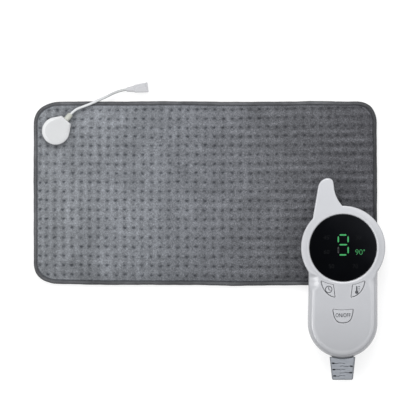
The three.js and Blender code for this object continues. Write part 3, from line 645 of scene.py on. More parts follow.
# painted light and shade along the housing and keys, painted shade on the housing's upright sides
SHELL = plastic("shell_grey", paint(201, 202, 206), rough=0.22, spread=0.02, specular=0.72, coat=0.4, painted_light_fall=PAINTED_LIGHT_FALL, painted_shade_across=PAINTED_SHADE_ACROSS, side=0.72)
KEYCAP = plastic("key_grey", paint(203, 204, 208), rough=0.28, spread=0.025, coat=0.2, painted_light_fall=PAINTED_LIGHT_FALL)
# painted light on the gentle slopes of the white parts
WHITE = plastic("plastic_white", paint(214, 215, 216), rough=0.36, spread=0.025, bevel=1.18)
# painted shade on the connector's upright sides
CONNECTOR = plastic("connector_white", paint(203, 203, 206), rough=0.34, spread=0.04, side=0.8)
CREAM = plastic("collar_cream", paint(201, 203, 194), rough=0.42, spread=0.06)
RELIEF = rubber_material()
BLACK = plastic("plastic_black", paint(34, 35, 37), rough=0.5, spread=0.1)
BOARD = plastic("board_green", paint(31, 107, 58), rough=0.45, spread=0.12)
BLUE = plastic("plastic_blue", paint(43, 94, 168), rough=0.45)
AMBER = plastic("dip_amber", paint(185, 138, 60), rough=0.3, spread=0.1)
SILICONE = plastic("silicone_cream", paint(217, 212, 200), rough=0.6)
STEEL = metal("plated_steel", lin(178, 181, 186))
BRASS = metal("brass_bright", lin(214, 174, 82), 0.3)
LEAD = jacket_material()
WINDOW = lens_material()
GREEN = glow_material("led_green", lin(42, 158, 84), 1.0)
GREEN_DIM = glow_material("led_green_dim", lin(44, 140, 76), 1.0)
GHOST = print_material("led_unlit", (0.0084, 0.0089, 0.01, 1), 0.07)
INK = print_material("ink_grey", paint(70, 71, 76))

# ------------------------------------------------------------------ camera, floor and light
cam = bpy.data.cameras.new("camera")
cam_ob = bpy.data.objects.new("camera", cam)
bpy.context.scene.collection.objects.link(cam_ob)
CAM_D = 12.0
cam_ob.location = ((208 - 205.3) * PX * MM, (193.3 - 208) * PX * MM, CAM_D + 0.008)
cam.sensor_width = 36.0
cam.sensor_fit = "HORIZONTAL"
cam.lens = 36.0 * CAM_D / (416 * PX * MM)
cam.clip_end = 50
bpy.context.scene.camera = cam_ob
bpy.context.scene.view_settings.view_transform = "Standard"
bpy.context.scene.view_settings.look = "None"

world = bpy.data.worlds.new("studio")
bpy.context.scene.world = world
world.use_nodes = True
wn = world.node_tree
wd = wn.nodes.new("ShaderNodeTexCoord")
ws = wn.nodes.new("ShaderNodeSeparateXYZ")
wr = wn.nodes.new("ShaderNodeValToRGB")
wn.links.new(wd.outputs["Generated"], ws.inputs[0])
wn.links.new(ws.outputs[2], wr.inputs[0])
stops = [(0.0, 0.08), (0.3, 0.16), (0.5, 0.5), (0.62, 0.95), (0.8, 1.36), (0.96, 1.5), (0.98, 0.7), (0.99, 0.1), (1.0, 0.04)]
while len(wr.color_ramp.elements) < len(stops):
    wr.color_ramp.elements.new(0.5)
for e, (p, k) in zip(wr.color_ramp.elements, stops):
    e.position, e.color = p, (0.985 * k, 0.992 * k, k, 1)
# brighter from the far side than from the near side
wa = wn.nodes.new("ShaderNodeMath")
wa.operation = "MULTIPLY_ADD"
wa.inputs[1].default_value, wa.inputs[2].default_value = 0.25, 1.0
wn.links.new(ws.outputs[1], wa.inputs[0])
wn.links.new(wa.outputs[0], wn.nodes["Background"].inputs[1])
wn.links.new(wr.outputs[0], wn.nodes["Background"].inputs[0])


def softbox(name, where, size, power):
    li = bpy.data.lights.new(name, "AREA")
    li.shape, li.size, li.size_y, li.energy = "RECTANGLE", size[0], size[1], power
    ob = bpy.data.objects.new(name, li)
    ob.location = where
    ob.rotation_euler = (Vector((0.03, -0.03, 0)) - Vector(where)).to_track_quat("-Z", "Y").to_euler()
    ob.visible_camera = False
    bpy.context.scene.collection.objects.link(ob)
    return ob


softbox("left_box", (-1.42, -0.2, 1.42), (2.4, 0.32), 11)
softbox("top_box", (-0.1, 1.35, 1.5), (1.5, 0.6), 14)
softbox("right_box", (1.65, 0.0, 1.15), (1.2, 0.6), 2)
softbox("near_box", (0.0, -1.65, 1.15), (1.2, 0.6), 0.7)

fl = bpy.data.meshes.new("floor")
fl.from_pydata([(-10, -10, -0.0002), (10, -10, -0.0002), (10, 10, -0.0002), (-10, 10, -0.0002)], [], [(0, 1, 2, 3)])
floor = bpy.data.objects.new("floor", fl)
bpy.context.scene.collection.objects.link(floor)
fm = Mat("floor_pale")
fm.set(Specular_IOR_Level=0.1, Emission_Color=(1, 1, 1, 1), Emission_Strength=0.66)  # a lit table top
fm.out(fm.ramp(fm.noise(3, 2), [(0.3, grey(0.395)), (0.7, grey(0.405))]), fm.range(fm.noise(5, 2), 0.85, 0.95))
fl.materials.append(fm.m)

# ------------------------------------------------------------------ the lead and its connector
sd = (math.cos(math.radians(SPOUT_DEG)), math.sin(math.radians(SPOUT_DEG)))
cd = (math.cos(math.radians(CON_DEG)), math.sin(math.radians(CON_DEG)))
start = (JX + sd[0] * (SPOUT_REACH + 0.6 + COLLAR_L), JY + sd[1] * (SPOUT_REACH + 0.6 + COLLAR_L), LEAD_Z)
end = (CON_X - 0.3 * cd[0], CON_Y - 0.3 * cd[1], CON_Z)
route = [start, (start[0] + 2.5 * sd[0], start[1] + 2.5 * sd[1], LEAD_Z), *LEAD_ROUTE, (end[0] - 1.5 * cd[0], end[1] - 1.5 * cd[1], CON_Z), end]
line = through(route, 4)
# the drawn lead runs a little way into the collar and the connector's neck
line[0] -= np.array([sd[0], sd[1], 0]) * 0.8
line[-1] += np.array([cd[0], cd[1], 0]) * 0.9
curve = bpy.data.curves.new("lead_cord", "CURVE")
curve.dimensions = "3D"
spl = curve.splines.new("POLY")
spl.points.add(len(line) - 1)
for q, co in zip(spl.points, line):
    q.co = (co[0] * MM, co[1] * MM, co[2] * MM, 1)
curve.bevel_depth = LEAD_D / 2 * MM
curve.bevel_resolution = 5
curve.use_fill_caps = True
spl.use_smooth = True
curve.materials.append(LEAD)
lead = bpy.data.objects.new("lead_cord", curve)
bpy.context.scene.collection.objects.link(lead)
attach(lead, "pad")
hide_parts("pad_lead")


def place(verts, deg, at):
    c, s = math.cos(math.radians(deg)), math.sin(math.radians(deg))
    return [(at[0] + c * x - s * y, at[1] + s * x + c * y, at[2] + z) for x, y, z in verts]


def connector():
    """Moulded connector: tapered boot, shoulder, and a keyed body that widens towards its open face."""
    rings = []
    prof = [
        # along, half width, half height, corner
        (0.0, 1.3, 1.15, 1.05), (0.12, 1.58, 1.37, 1.25), (0.45, 1.74, 1.46, 1.3), (0.9, 1.86, 1.54, 1.35), (2.6, 2.16, 1.74, 1.4),
        (4.5, 2.42, 1.95, 1.5), (6.3, 2.66, 2.16, 1.5), (6.8, 2.73, 2.22, 1.4), (7.1, 2.82, 2.3, 1.2), (7.22, 2.95, 2.4, 1.0),
        (7.3, 3.2, 2.58, 0.9), (7.45, 3.37, 2.7, 0.85), (7.8, 3.45, 2.76, 0.8), (9.5, 3.6, 2.86, 0.8), (11.5, 3.78, 2.98, 0.8),
        (14.5, 4.06, 3.15, 0.8), (17.5, 4.34, 3.32, 0.8), (17.9, 4.38, 3.34, 0.8), (18.0, 4.28, 3.24, 0.75), (18.2, 4.28, 3.24, 0.75),
        (18.3, 4.42, 3.36, 0.8), (19.2, 4.5, 3.4, 0.8), (19.55, 4.44, 3.34, 0.75), (19.74, 4.3, 3.2, 0.7), (19.8, 4.1, 3.05, 0.65),
    ]
    for x, hw, hh, r in prof:
        sec = resample(rounded_rect(2 * hw, 2 * hh, r, 8), count=120)
        k = float(np.clip((x - 7.3) / 0.8, 0, 1) * np.clip((17.95 - x) / 0.3, 0, 1))
        ring = []
        for a, b in sec:
            step = 0.55 * k * (1 / (1 + math.exp(-(a - 0.5) / 0.09))) * np.clip((b - 0.3) / max(0.5, hh - 0.8), 0, 1)
            ring.append((x, a, b - step))
        rings.append(ring)
    return loft(rings)


v, f = connector()
con = make("connector_body", place(v, CON_DEG, (CON_X, CON_Y, CON_Z)), f, CONNECTOR, "pad", 40)
for y in (-1.65, 1.65):
    hv, hf = turned([(0, 0), (1.3, 0), (1.3, 8.15), (1.6, 8.5), (1.6, 9), (0, 9)], 28)
    hv = [(CON_L - 8.4 + z, y + p, q) for p, q, z in hv]
    cut_with(con, place(hv, CON_DEG, (CON_X, CON_Y, CON_Z)), hf)
con.data.set_sharp_from_angle(angle=math.radians(40))
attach(con, "pad")
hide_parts("connector_housing")

# ------------------------------------------------------------------ pad: dimpled plush top
rng = np.random.default_rng(41)
GRID = (19, 39)  # rows and columns of dimples
# middles of the dimples, millimetres, as slow surfaces over the column and the row, each from -1 to 1
LATTICE_X = (-0.5, 153.4, -0.46, 3.18, 1.84, 0.61, 1.48, -0.5)
LATTICE_Y = (1.47, 0.0, -74.78, 0.27, -1.46, -1.11, -0.59, -0.13)
PIT = {
    "jx": rng.normal(0, 0.34, GRID), "jy": rng.normal(0, 0.28, GRID), "turn": rng.normal(0.0, 0.22, GRID), "size": rng.uniform(0.9, 1.12, GRID),
    "a1": rng.uniform(0.1, 0.75, GRID), "a2": rng.uniform(0.1, 0.75, GRID), "x1": rng.uniform(-1.35, -0.75, GRID), "y1": rng.uniform(0.2, 0.9, GRID),
    "x2": rng.uniform(0.75, 1.35, GRID), "y2": rng.uniform(0.2, 0.9, GRID), "dark": rng.uniform(0.82, 1.0, GRID),
}


def lattice(u, v):
    t = (1.0, u, v, u * u, u * v, v * v, u * u * v, u * v * v)
    k = np.clip((u - 0.62) / 0.34, 0, 1)  # the last columns on the right lie closer together
    return sum(a * b for a, b in zip(LATTICE_X, t)) - 4.7 * k * k * (3 - 2 * k), sum(a * b for a, b in zip(LATTICE_Y, t))


def lattice_place(x, y):
    """Column and row, each from -1 to 1, at given points."""
    u, v = x / 153.4, -y / 74.8
    for _ in range(8):
        a, b = lattice(u, v)
        u, v = u + (x - a) / 153.4, v - (y - b) / 74.8
    return u, v


def pit_middles():
    i, j = np.meshgrid(np.arange(GRID[1]), np.arange(GRID[0]))
    x, y = lattice((i - 19) / 19, (j - 9) / 9)
    return np.maximum(x, -149.0) + PIT["jx"], y + PIT["jy"]


PIT_X, PIT_Y = pit_middles()


def pits(X, Y):
    """How deep in a dimple each point of a grid is, 0 to 1, and a soft round field about it that is painted as shade.
    """
    deep, soft = np.zeros_like(X), np.zeros_like(X)
    level = Y.mean(axis=1)
    for k in range(GRID[0]):
        for l in range(GRID[1]):
            cx, cy = PIT_X[k, l], PIT_Y[k, l]
            rows = np.flatnonzero(np.abs(level - cy) < 8)
            if not len(rows):
                continue
            r0, r1 = rows[0], rows[-1] + 1
            cols = np.flatnonzero(np.abs(X[(r0 + r1) // 2] - cx) < 8)
            if not len(cols):
                continue
            box = (slice(r0, r1), slice(cols[0], cols[-1] + 1))
            g = lambda q: PIT[q][k, l]
            u, w = X[box] - cx, Y[box] - cy
            a = g("turn")
            ur, wr = (u * np.cos(a) + w * np.sin(a)) / g("size"), (-u * np.sin(a) + w * np.cos(a)) / g("size")
            b = np.exp(-((ur / 1.2) ** 2 + (wr / 1.1) ** 2))
            b = b + g("a1") * np.exp(-(((ur - g("x1")) / 0.72) ** 2 + ((wr - g("y1")) / 0.6) ** 2))
            b = b + g("a2") * np.exp(-(((ur - g("x2")) / 0.78) ** 2 + ((wr - g("y2")) / 0.62) ** 2))
            deep[box] = np.maximum(deep[box], np.clip(b, 0, 1) * g("dark"))
            soft[box] = np.maximum(soft[box], np.exp(-((u / 2.7) ** 2 + (w / 2.6) ** 2)))
    return deep, soft


NEAR_EDGE = ([-154.5, -148, -140, -132.6, -104, -60, -10, 10, 24, 46, 70, 90, 154.5], [1.7, 1.7, 1.6, 1.3, 0.5, 0.22, 0.13, -0.15, -0.5, -0.4, -0.12, -0.05, 0.2])
FAR_EDGE = ([-154.5, -120, -89, -62, -35, -8, 10, 46, 64, 82, 91, 109, 118, 154.5], [0, -0.15, -0.2, -0.1, 0.3, 0.05, -0.35, -0.45, -0.3, 0, 0.4, 0.3, -0.05, 0])
RIGHT_EDGE = ([-83, -2, 16, 34, 60, 83], [0.2, 0.3, 0.15, 0.05, -0.3, -0.3])


# corners sewn squarer or rounder than the rest: place, direction, how far out, over what reach
CORNERS = [(147.9, 77.7, 51, 1.35, 9.5), (-151.0, -73.6, 213, 0.8, 10.0), (-142.4, 81.2, 116, -0.85, 9.0)]


def as_it_lies(x, y):
    """The near edge is drawn in a little towards the left corner, the others wander slightly, and no two corners are quite alike."""
    x, y = np.asarray(x, float), np.asarray(y, float)
    near, far, right = np.clip(-y / (PAD_W / 2), 0, 1), np.clip(y / (PAD_W / 2), 0, 1), np.clip(x / (PAD_L / 2), 0, 1)
    x, y = x + np.interp(y, *RIGHT_EDGE) * right**3, y + np.interp(x, *NEAR_EDGE) * near * near + np.interp(x, *FAR_EDGE) * far**3
    for cx, cy, deg, out, reach in CORNERS:
        d = out * np.exp(-((x - cx) ** 2 + (y - cy) ** 2) / reach**2)
        x, y = x + d * math.cos(math.radians(deg)), y + d * math.sin(math.radians(deg))
    return x, y


def half_length(y, inset):
    """Half the pad's length at each y, inside its rounded corners."""
    w, d, r = PAD_L / 2 - inset, PAD_W / 2 - inset, PAD_R - inset
    over = np.maximum(0, np.abs(y) - (d - r))
    return w - r + np.sqrt(np.maximum(0, r * r - over * over))


def edge_distance(x, y):
    """Distance inside the pad's outline."""
    qx, qy = np.abs(x) - (PAD_L / 2 - PAD_R), np.abs(y) - (PAD_W / 2 - PAD_R)
    return PAD_R - np.hypot(np.maximum(qx, 0), np.maximum(qy, 0)) - np.minimum(np.maximum(qx, qy), 0)


def value_noise(shape, cells, seed):
    """Smooth random field from 0 to 1 over a grid, with the given number of cells down and across."""
    r = np.random.default_rng(seed).random((cells[0] + 2, cells[1] + 2))
    y, x = np.linspace(0, cells[0], shape[0]), np.linspace(0, cells[1], shape[1])
    j, i = y.astype(int), x.astype(int)
    fy, fx = (y - j)[:, None], (x - i)[None, :]
    fy, fx = fy * fy * (3 - 2 * fy), fx * fx * (3 - 2 * fx)
    a, b = r[np.ix_(j, i)], r[np.ix_(j, i + 1)]
    c, d = r[np.ix_(j + 1, i)], r[np.ix_(j + 1, i + 1)]
    return (a * (1 - fx) + b * fx) * (1 - fy) + (c * (1 - fx) + d * fx) * fy


PLUSH_INSET = 2.4
PLUSH_FLOOR = 6.75  # height of the sewn-down dimples


def pad_grid(nx, ny):
    """Points of a sheet over the pad as it lies, and their distance inside the edge."""
    y = np.linspace(-1, 1, ny) * (PAD_W / 2 - PLUSH_INSET)
    Y = np.repeat(y[:, None], nx, 1)
    X = half_length(Y, PLUSH_INSET) * np.linspace(-1, 1, nx)[None, :]
    return (*as_it_lies(X, Y), edge_distance(X, Y))


def puffed(nx, ny):
    """Heights of the cover over its base, from a cloth that is held at the rim and in each dimple and blown up between them."""
    X, Y, e = pad_grid(nx, ny)
    near = np.full(X.shape, 1e9)
    for k in range(GRID[0]):
        rows = np.abs(Y.mean(axis=1) - PIT_Y[k].mean()) < 7
        for l in range(GRID[1]):
            near[rows] = np.minimum(near[rows], np.hypot(X[rows] - PIT_X[k, l], Y[rows] - PIT_Y[k, l]))
    held = (near < 1.25) & (e > 4.4)
    rim = np.zeros(X.shape, bool)
    rim[0], rim[-1], rim[:, 0], rim[:, -1] = True, True, True, True
    z = np.full(X.shape, PLUSH_FLOOR) + 0.05 * value_noise(X.shape, (60, 110), 5)
    z[rim] = 6.0
    idx = np.arange(nx * ny).reshape(ny, nx)
    quads = np.stack([idx[:-1, :-1], idx[:-1, 1:], idx[1:, 1:], idx[1:, :-1]], axis=2).reshape(-1, 4)
    me = bpy.data.meshes.new("puff")
    me.from_pydata((np.stack([X, Y, z], axis=2).reshape(-1, 3) * 0.01).tolist(), [], quads.tolist())
    ob = bpy.data.objects.new("puff", me)
    bpy.context.scene.collection.objects.link(ob)
    group = ob.vertex_groups.new(name="held")
    group.add([int(k) for k in idx[held | rim]], 1.0, "REPLACE")
    m = ob.modifiers.new("cloth", "CLOTH")
    s = m.settings
    s.quality, s.mass = 6, 0.3
    s.tension_stiffness = s.compression_stiffness = 12
    s.shear_stiffness, s.bending_stiffness = 4, 0.4
    s.use_pressure, s.uniform_pressure_force = True, 6.0
    s.shrink_min = -0.05
    s.vertex_group_mass = "held"
    s.effector_weights.gravity = 0
    m.collision_settings.use_collision = False
    m.point_cache.frame_start, m.point_cache.frame_end = 1, 24
    sc = bpy.context.scene
    for k in range(1, 25):
        sc.frame_set(k)
    dg = bpy.context.evaluated_depsgraph_get()
    ev = ob.evaluated_get(dg).to_mesh()
    co = np.empty(len(ev.vertices) * 3)
    ev.vertices.foreach_get("co", co)
    out = co.reshape(ny, nx, 3)[:, :, 2] / 0.01 - PLUSH_FLOOR
    ob.evaluated_get(dg).to_mesh_clear()
    bpy.data.objects.remove(ob)
    bpy.data.meshes.remove(me)
    sc.frame_set(1)
    return out


def finer(field, ny, nx):
    """A coarse grid's values at a finer grid's points."""
    a = np.linspace(0, field.shape[0] - 1, ny)
    b = np.linspace(0, field.shape[1] - 1, nx)
    j, i = np.minimum(a.astype(int), field.shape[0] - 2), np.minimum(b.astype(int), field.shape[1] - 2)
    fy, fx = (a - j)[:, None], (b - i)[None, :]
    return (field[np.ix_(j, i)] * (1 - fx) + field[np.ix_(j, i + 1)] * fx) * (1 - fy) + (field[np.ix_(j + 1, i)] * (1 - fx) + field[np.ix_(j + 1, i + 1)] * fx) * fy


def pad_top():
    nx, ny = ((404, 216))
    X, Y, e = pad_grid(nx, ny)
    deep, soft = pits(X, Y)
    inner = np.clip((e - 3.0) / 1.4, 0, 1)
    deep, soft = deep * inner, soft * inner
    puff = np.clip(puffed(204, 110), 0, None)
    top = np.percentile(puff, 97)
    crest = 1.2 * np.clip(finer(puff / top, ny, nx), 0, 1.06)
    z = PLUSH_FLOOR - 0.03 + crest * np.clip((e - PLUSH_INSET) / 2.6 + 0.15, 0, 1)
    z -= 0.55 * deep
    z -= 0.75 * np.exp(-(((e - PLUSH_INSET) / 1.2) ** 2))
    # tufts of the pile
    tuft = np.random.default_rng(8).normal(0, 1, X.shape)
    tuft = 0.5 * tuft + 0.25 * (np.roll(tuft, 1, 0) + np.roll(tuft, 1, 1))
    z += 0.085 * tuft * np.clip((e - PLUSH_INSET) / 1.5, 0, 1)
    z = np.minimum(z, 8.2)
    verts = np.stack([X, Y, z], axis=2).reshape(-1, 3)
    idx = np.arange(nx * ny).reshape(ny, nx)
    quads = np.stack([idx[:-1, :-1], idx[:-1, 1:], idx[1:, 1:], idx[1:, :-1]], axis=2).reshape(-1, 4)
    edge = np.concatenate([idx[0, :], idx[1:, -1], idx[-1, -2::-1], idx[-2:0:-1, 0]])
    n0, m = len(verts), len(edge)
    low = verts[edge].copy()
    low[:, 2] = 5.55
    verts = np.vstack([verts, low, [[0, 0, 5.55]]])
    faces = quads.tolist()
    for a in range(m):
        b = (a + 1) % m
        faces.append([edge[a], n0 + a, n0 + b, edge[b]])
        faces.append([n0 + b, n0 + a, n0 + m])
    me = bpy.data.meshes.new("plush_top")
    me.from_pydata((verts * MM).tolist(), [], faces)
    # painted shade in the dimples, round them and along the tape's seam, and which way the pile lies
    # painted shade along the tape's seam, where its lip meets the plush
    lip = 3.05 + np.where(Y > 0, 0.3, 0.7) * np.clip((np.abs(Y) - 58) / 16, 0, 1)
    seam = 0.95 * np.exp(-(((e - lip) / 0.75) ** 2))
    pale = np.interp(X, [20, 70, 110, 150], [1.0, 0.88, 0.7, 0.62])
    pit_and_seam_shade = np.clip(np.maximum(np.clip(deep * 1.05, 0, 1) * pale, np.maximum(seam, 0.2 * soft * pale)), 0, 1)
    u, v = lattice_place(X, Y)
    cph, rph = np.cos(2 * np.pi * 19 * u), np.cos(2 * np.pi * 9 * v)
    t = (X / PAD_L) + 0.5
    left, right = np.clip(1.15 - 1.7 * t, 0, 1), np.clip(2.0 * t - 0.75, 0, 1)
    mod_a, mod_b = value_noise(X.shape, (7, 26), 12), value_noise(X.shape, (24, 8), 13)
    fine_a, fine_b = value_noise(X.shape, (18, 120), 14), value_noise(X.shape, (110, 24), 15)
    nap = 0.5 - 0.075 * left * cph * (0.3 + 1.4 * mod_a) - 0.13 * right * rph * (0.2 + 1.6 * mod_b)
    nap += 0.18 * left * (fine_a - 0.5) + 0.36 * right * (fine_b - 0.5)
    # longer strokes that cross the whole cloth
    nap += 0.16 * (value_noise(X.shape, (54, 12), 16) - 0.5) + 0.10 * (value_noise(X.shape, (9, 80), 17) - 0.5)
    # broad bands and patches
    nap += 0.32 * np.clip(1.2 - t, 0, 1) * (value_noise(X.shape, (3, 20), 18) - 0.5) + 0.11 * (value_noise(X.shape, (9, 17), 19) - 0.5)
    # a painted highlight along the plush just inside the tape's seam, and a darker band just inside that
    nap += 0.09 * np.exp(-(((e - 4.3) / 0.7) ** 2)) - 0.11 * np.exp(-(((e - 6.5) / 1.2) ** 2))
    for name, field, fill in (("pit_and_seam_shade", pit_and_seam_shade, 0.0), ("nap", np.clip(nap, 0, 1), 0.5)):
        at = me.attributes.new(name, "FLOAT", "POINT")
        at.data.foreach_set("value", np.concatenate([field.reshape(-1), np.full(m + 1, fill)]).astype(np.float32))
    clean(me, 0)
    return finish_mesh("plush_top", me, PLUSH, "pad", 60)


plush = pad_top()
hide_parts("top_cover")


def pad_back():
    """Lining on the underside, drawn in a little between the sewn lines."""
    nx, ny = 120, 66
    X, Y, e = pad_grid(nx, ny)
    z = 0.02 + 0.12 * (1 + np.sin(X / 7.5) * np.sin(Y / 8)) + 1.5 * np.exp(-(((e - PLUSH_INSET) / 2.2) ** 2))
    top = np.stack([X, Y, np.full_like(X, 1.75)], axis=2).reshape(-1, 3)
    bot = np.stack([X, Y, np.minimum(z, 1.7)], axis=2).reshape(-1, 3)
    idx = np.arange(nx * ny).reshape(ny, nx)
    q = np.stack([idx[:-1, :-1], idx[:-1, 1:], idx[1:, 1:], idx[1:, :-1]], axis=2).reshape(-1, 4)
    n = nx * ny
    faces = q.tolist() + (q[:, ::-1] + n).tolist()
    rim = np.concatenate([idx[0, :], idx[1:, -1], idx[-1, -2::-1], idx[-2:0:-1, 0]])
    for k in range(len(rim)):
        a, b = rim[k], rim[(k + 1) % len(rim)]
        faces.append([a, a + n, b + n, b])
    return make("lining_back", np.vstack([top, bot]), faces, LINING, "pad", 50)


back = pad_back()
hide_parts("back_cover")


def pad_path(inset, step):
    p = resample(rounded_rect(PAD_L - 2 * inset, PAD_W - 2 * inset, PAD_R - inset, 24), step=step)
    n = normals(p)
    p[:, 0], p[:, 1] = as_it_lies(p[:, 0], p[:, 1])
    return p, n


def tape_half(n):
    """Half the tape's width where its outward direction is n: it is wider along the two long sides."""
    return 1.85 + np.where(n[..., 1] > 0, 0.15, 0.3) * n[..., 1] ** 2


def binding():
    """Rolled edge tape: a closed tube round the pad that pulls in and out a little between stitches."""
    p, n = pad_path(0.0, 1.5)
    s = np.arange(len(p)) * 2 * np.pi / len(p)
    wob = 0.16 * np.sin(7 * s + 0.5) + 0.13 * np.sin(17 * s + 1.9) + 0.1 * np.sin(41 * s + 0.3) + 0.06 * np.sin(97 * s)
    high = 0.10 * np.sin(11 * s + 1) + 0.08 * np.sin(37 * s + 2) + 0.05 * np.sin(211 * s)
    rings, painted_roll_light = [], []
    m = 28
    for k in range(len(p)):
        ring, half = [], float(tape_half(n[k]))
        for i in range(m):
            a = 2 * math.pi * i / m
            cx, cz = math.cos(a), math.sin(a)
            u = math.copysign(abs(cx) ** 0.8, cx) * half
            w = math.copysign(abs(cz) ** 0.72, cz) * 3.45
            # the inner lip presses down on the plush
            if cx < 0 and cz > 0:
                w -= 0.95 * cx * cx
            if cx < 0 and cz < 0:
                w += 0.5 * cx * cx
            c = p[k] + n[k] * (-0.02 - half + u + wob[k] * 0.55 * (0.35 + 0.65 * (cx > -0.2)))
            ring.append((c[0], c[1], 3.8 + w + high[k] * max(0.0, cz)))
            # painted highlight along the top of the roll, painted shade below it
            crest = math.exp(-(((math.degrees(math.atan2(cz, cx)) - 84) / 44) ** 2))
            painted_roll_light.append(crest * (0.85 + 0.15 * math.sin(13 * s[k])) if cz > -0.2 else 0.35)
        rings.append(ring)
    verts, faces = loft(rings, False, False)
    k = (len(p) - 1) * m
    for j in range(m):
        faces.append([k + j, k + (j + 1) % m, (j + 1) % m, j])
    me = bpy.data.meshes.new("edge_tape")
    me.from_pydata((np.array(verts) * MM).tolist(), [], faces)
    at = me.attributes.new("painted_roll_light", "FLOAT", "POINT")
    at.data.foreach_set("value", np.array(painted_roll_light, np.float32))
    clean(me, 0)
    return finish_mesh("edge_tape", me, TAPE, "pad", 60)


tape = binding()
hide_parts("edge_binding")


def felt_layer():
    """Felt inside the pad that carries the wire: cut smaller than the covers, open round the junction's base, a little wavy."""
    p, t = sheet_between(pad_path(2.2, 4.0)[0], [circle(12.3, 48, JX, JY)], 9.0)
    n = len(p)
    low = np.column_stack([p, np.full(n, 2.1)])
    high = np.column_stack([p, 3.44 + 0.05 * np.sin(p[:, 0] / 5.0) * np.sin(p[:, 1] / 6.0)])
    faces = [list(f + n) for f in t] + [list(f[::-1]) for f in t]
    sides = {(f[i], f[(i + 1) % 3]) for f in t.tolist() for i in range(3)}
    faces += [[a + n, a, b, b + n] for a, b in sorted(sides) if (b, a) not in sides]
    return make("felt_layer", np.vstack([low, high]), faces, FELT, "pad", 40)


layer = felt_layer()
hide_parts("wire_felt")


def stitches(name, inset, z, pitch, length_mm, r, mat):
    """A row of short thread stitches along the pad's edge."""
    p, n = pad_path(inset, 0.4)
    p = p - n * (1.48 * (tape_half(n) - 1.85))[:, None]
    per = len(p)
    out = Parts()
    count = int(per * 0.4 / pitch)
    for k in range(count):
        a = int(round(k * per / count)) % per
        t = np.array([-n[a][1], n[a][0]])
        rings = []
        for j in range(6):
            u = -1 + 2 * j / 5
            rr = r * math.sqrt(max(0.04, 1 - abs(u) ** 3))
            c = p[a] + t * u * length_mm / 2
            lift = 0.16 * (1 - u * u) - 0.10
            rings.append([
                (c[0] + n[a][0] * rr * math.cos(b), c[1] + n[a][1] * rr * math.cos(b), z + lift + rr * math.sin(b))
                for b in [2 * math.pi * i / 6 for i in range(6)]
            ])
        out.add(*loft(rings))
    return make(name, out.v, out.f, mat, "pad", 60)


seam = stitches("tape_stitching", 2.75, 6.74, 2.9, 2.0, 0.2, THREAD)


# ------------------------------------------------------------------ junction on the pad
def cover_line(r, reach, left, right):
    """A circle and the end of the spout, joined by flanks that touch the circle."""
    touch = [math.atan2(h, reach) + math.acos(r / math.hypot(reach, h)) for h in (left, right)]
    hit_a, hit_b = np.array((r * math.cos(touch[1]), -r * math.sin(touch[1]))), np.array((r * math.cos(touch[0]), r * math.sin(touch[0])))
    end_a, end_b = np.array((reach, -right)), np.array((reach, left))
    t = lambda n: np.linspace(0, 1, n, endpoint=False)[:, None]
    a = touch[0] + (2 * math.pi - touch[0] - touch[1]) * t(120)
    line = np.vstack([
        end_a + (end_b - end_a) * t(24), end_b + (hit_b - end_b) * t(24), np.hstack([r * np.cos(a), r * np.sin(a)]), hit_a + (end_a - hit_a) * t(24),
    ])
    for _ in range(4):
        line = 0.25 * np.roll(line, 1, axis=0) + 0.5 * line + 0.25 * np.roll(line, -1, axis=0)
    return line


def junction():
    """Low cover whose sides slope up to a flat top, drawn out into a spout for the lead."""
    foot, top = cover_line(J_R, SPOUT_REACH + 0.5, SPOUT_W / 2 - 0.2, SPOUT_W / 2 + 0.8), cover_line(*J_TOP)
    rings = []
    for k, z in (
        (0.06, J_Z0), (0.015, J_Z0 + 0.1), (0.0, J_Z0 + 0.35), (0.0, 9.6), (0.0, 12.2), (0.015, 12.6), (0.06, 12.9), (0.14, 13.09), (0.5, 13.6),
        (0.84, 14.08), (0.92, 14.2), (0.98, 14.3), (1.05, 14.37), (1.15, J_Z1),
    ):
        rings.append([(x, y, z) for x, y in foot + (top - foot) * k])
    for k in (0.7, 0.35, 0.02):
        rings.append([(x * k, y * k, J_Z1 - 0.04 * (1 - k)) for x, y in foot + (top - foot) * 1.15])
    v, f = loft(rings)
    return make("junction_cap", place(v, SPOUT_DEG, (JX, JY, 0)), f, WHITE, "pad", 48)


cap = junction()
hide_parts("junction_cover")


def collar():
    """Ribbed soft sleeve where the lead leaves the spout."""
    prof = [(0, -0.25), (1.7, -0.25), (1.72, 0.05), (2.25, 0.1), (2.36, 0.35)]
    z = 0.75
    while z < COLLAR_L - 0.9:
        k = 2.4 - 0.14 * (z / COLLAR_L) ** 1.5
        prof += [(k, z), (k, z + 0.55), (k - 0.12, z + 0.64), (k - 0.12, z + 0.82)]
        z += 0.95
    prof += [(2.2, COLLAR_L - 0.25), (2.0, COLLAR_L - 0.05), (1.4, COLLAR_L), (0, COLLAR_L)]
    v, f = turned(prof, 32)
    v = [(SPOUT_REACH + 0.3 + 1.12 * z, 1.1 * x, LEAD_Z + y) for x, y, z in v]
    return make("collar_sleeve", place(v, SPOUT_DEG, (JX, JY, 0)), f, CREAM, "pad", 35)


sleeve = collar()
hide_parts("lead_collar")

# ------------------------------------------------------------------ controller housing
C_AT = (CX, CY, CZ)


def settled(line):
    """The head is slightly fuller on the right, and the body's sides run out and to the left, down to its round end."""
    p = np.array(line, float)
    turn = (np.degrees(np.arctan2(p[:, 1], p[:, 0])) - 15) / 24
    p *= (1 + 0.3 / HEAD_R * np.exp(-turn * turn))[:, None]
    t = np.clip((-36 - p[:, 1]) / (-36 - END_Y), 0, 1)
    t = t * t * (3 - 2 * t)
    grow = END_R / BODY_HALF
    low = np.minimum(p[:, 1] - END_Y, 0) * (grow - 1)
    return np.stack([p[:, 0] * (1 + (grow - 1) * t) + END_AT[0] * t, p[:, 1] + low + (END_AT[1] - END_Y) * t], 1)


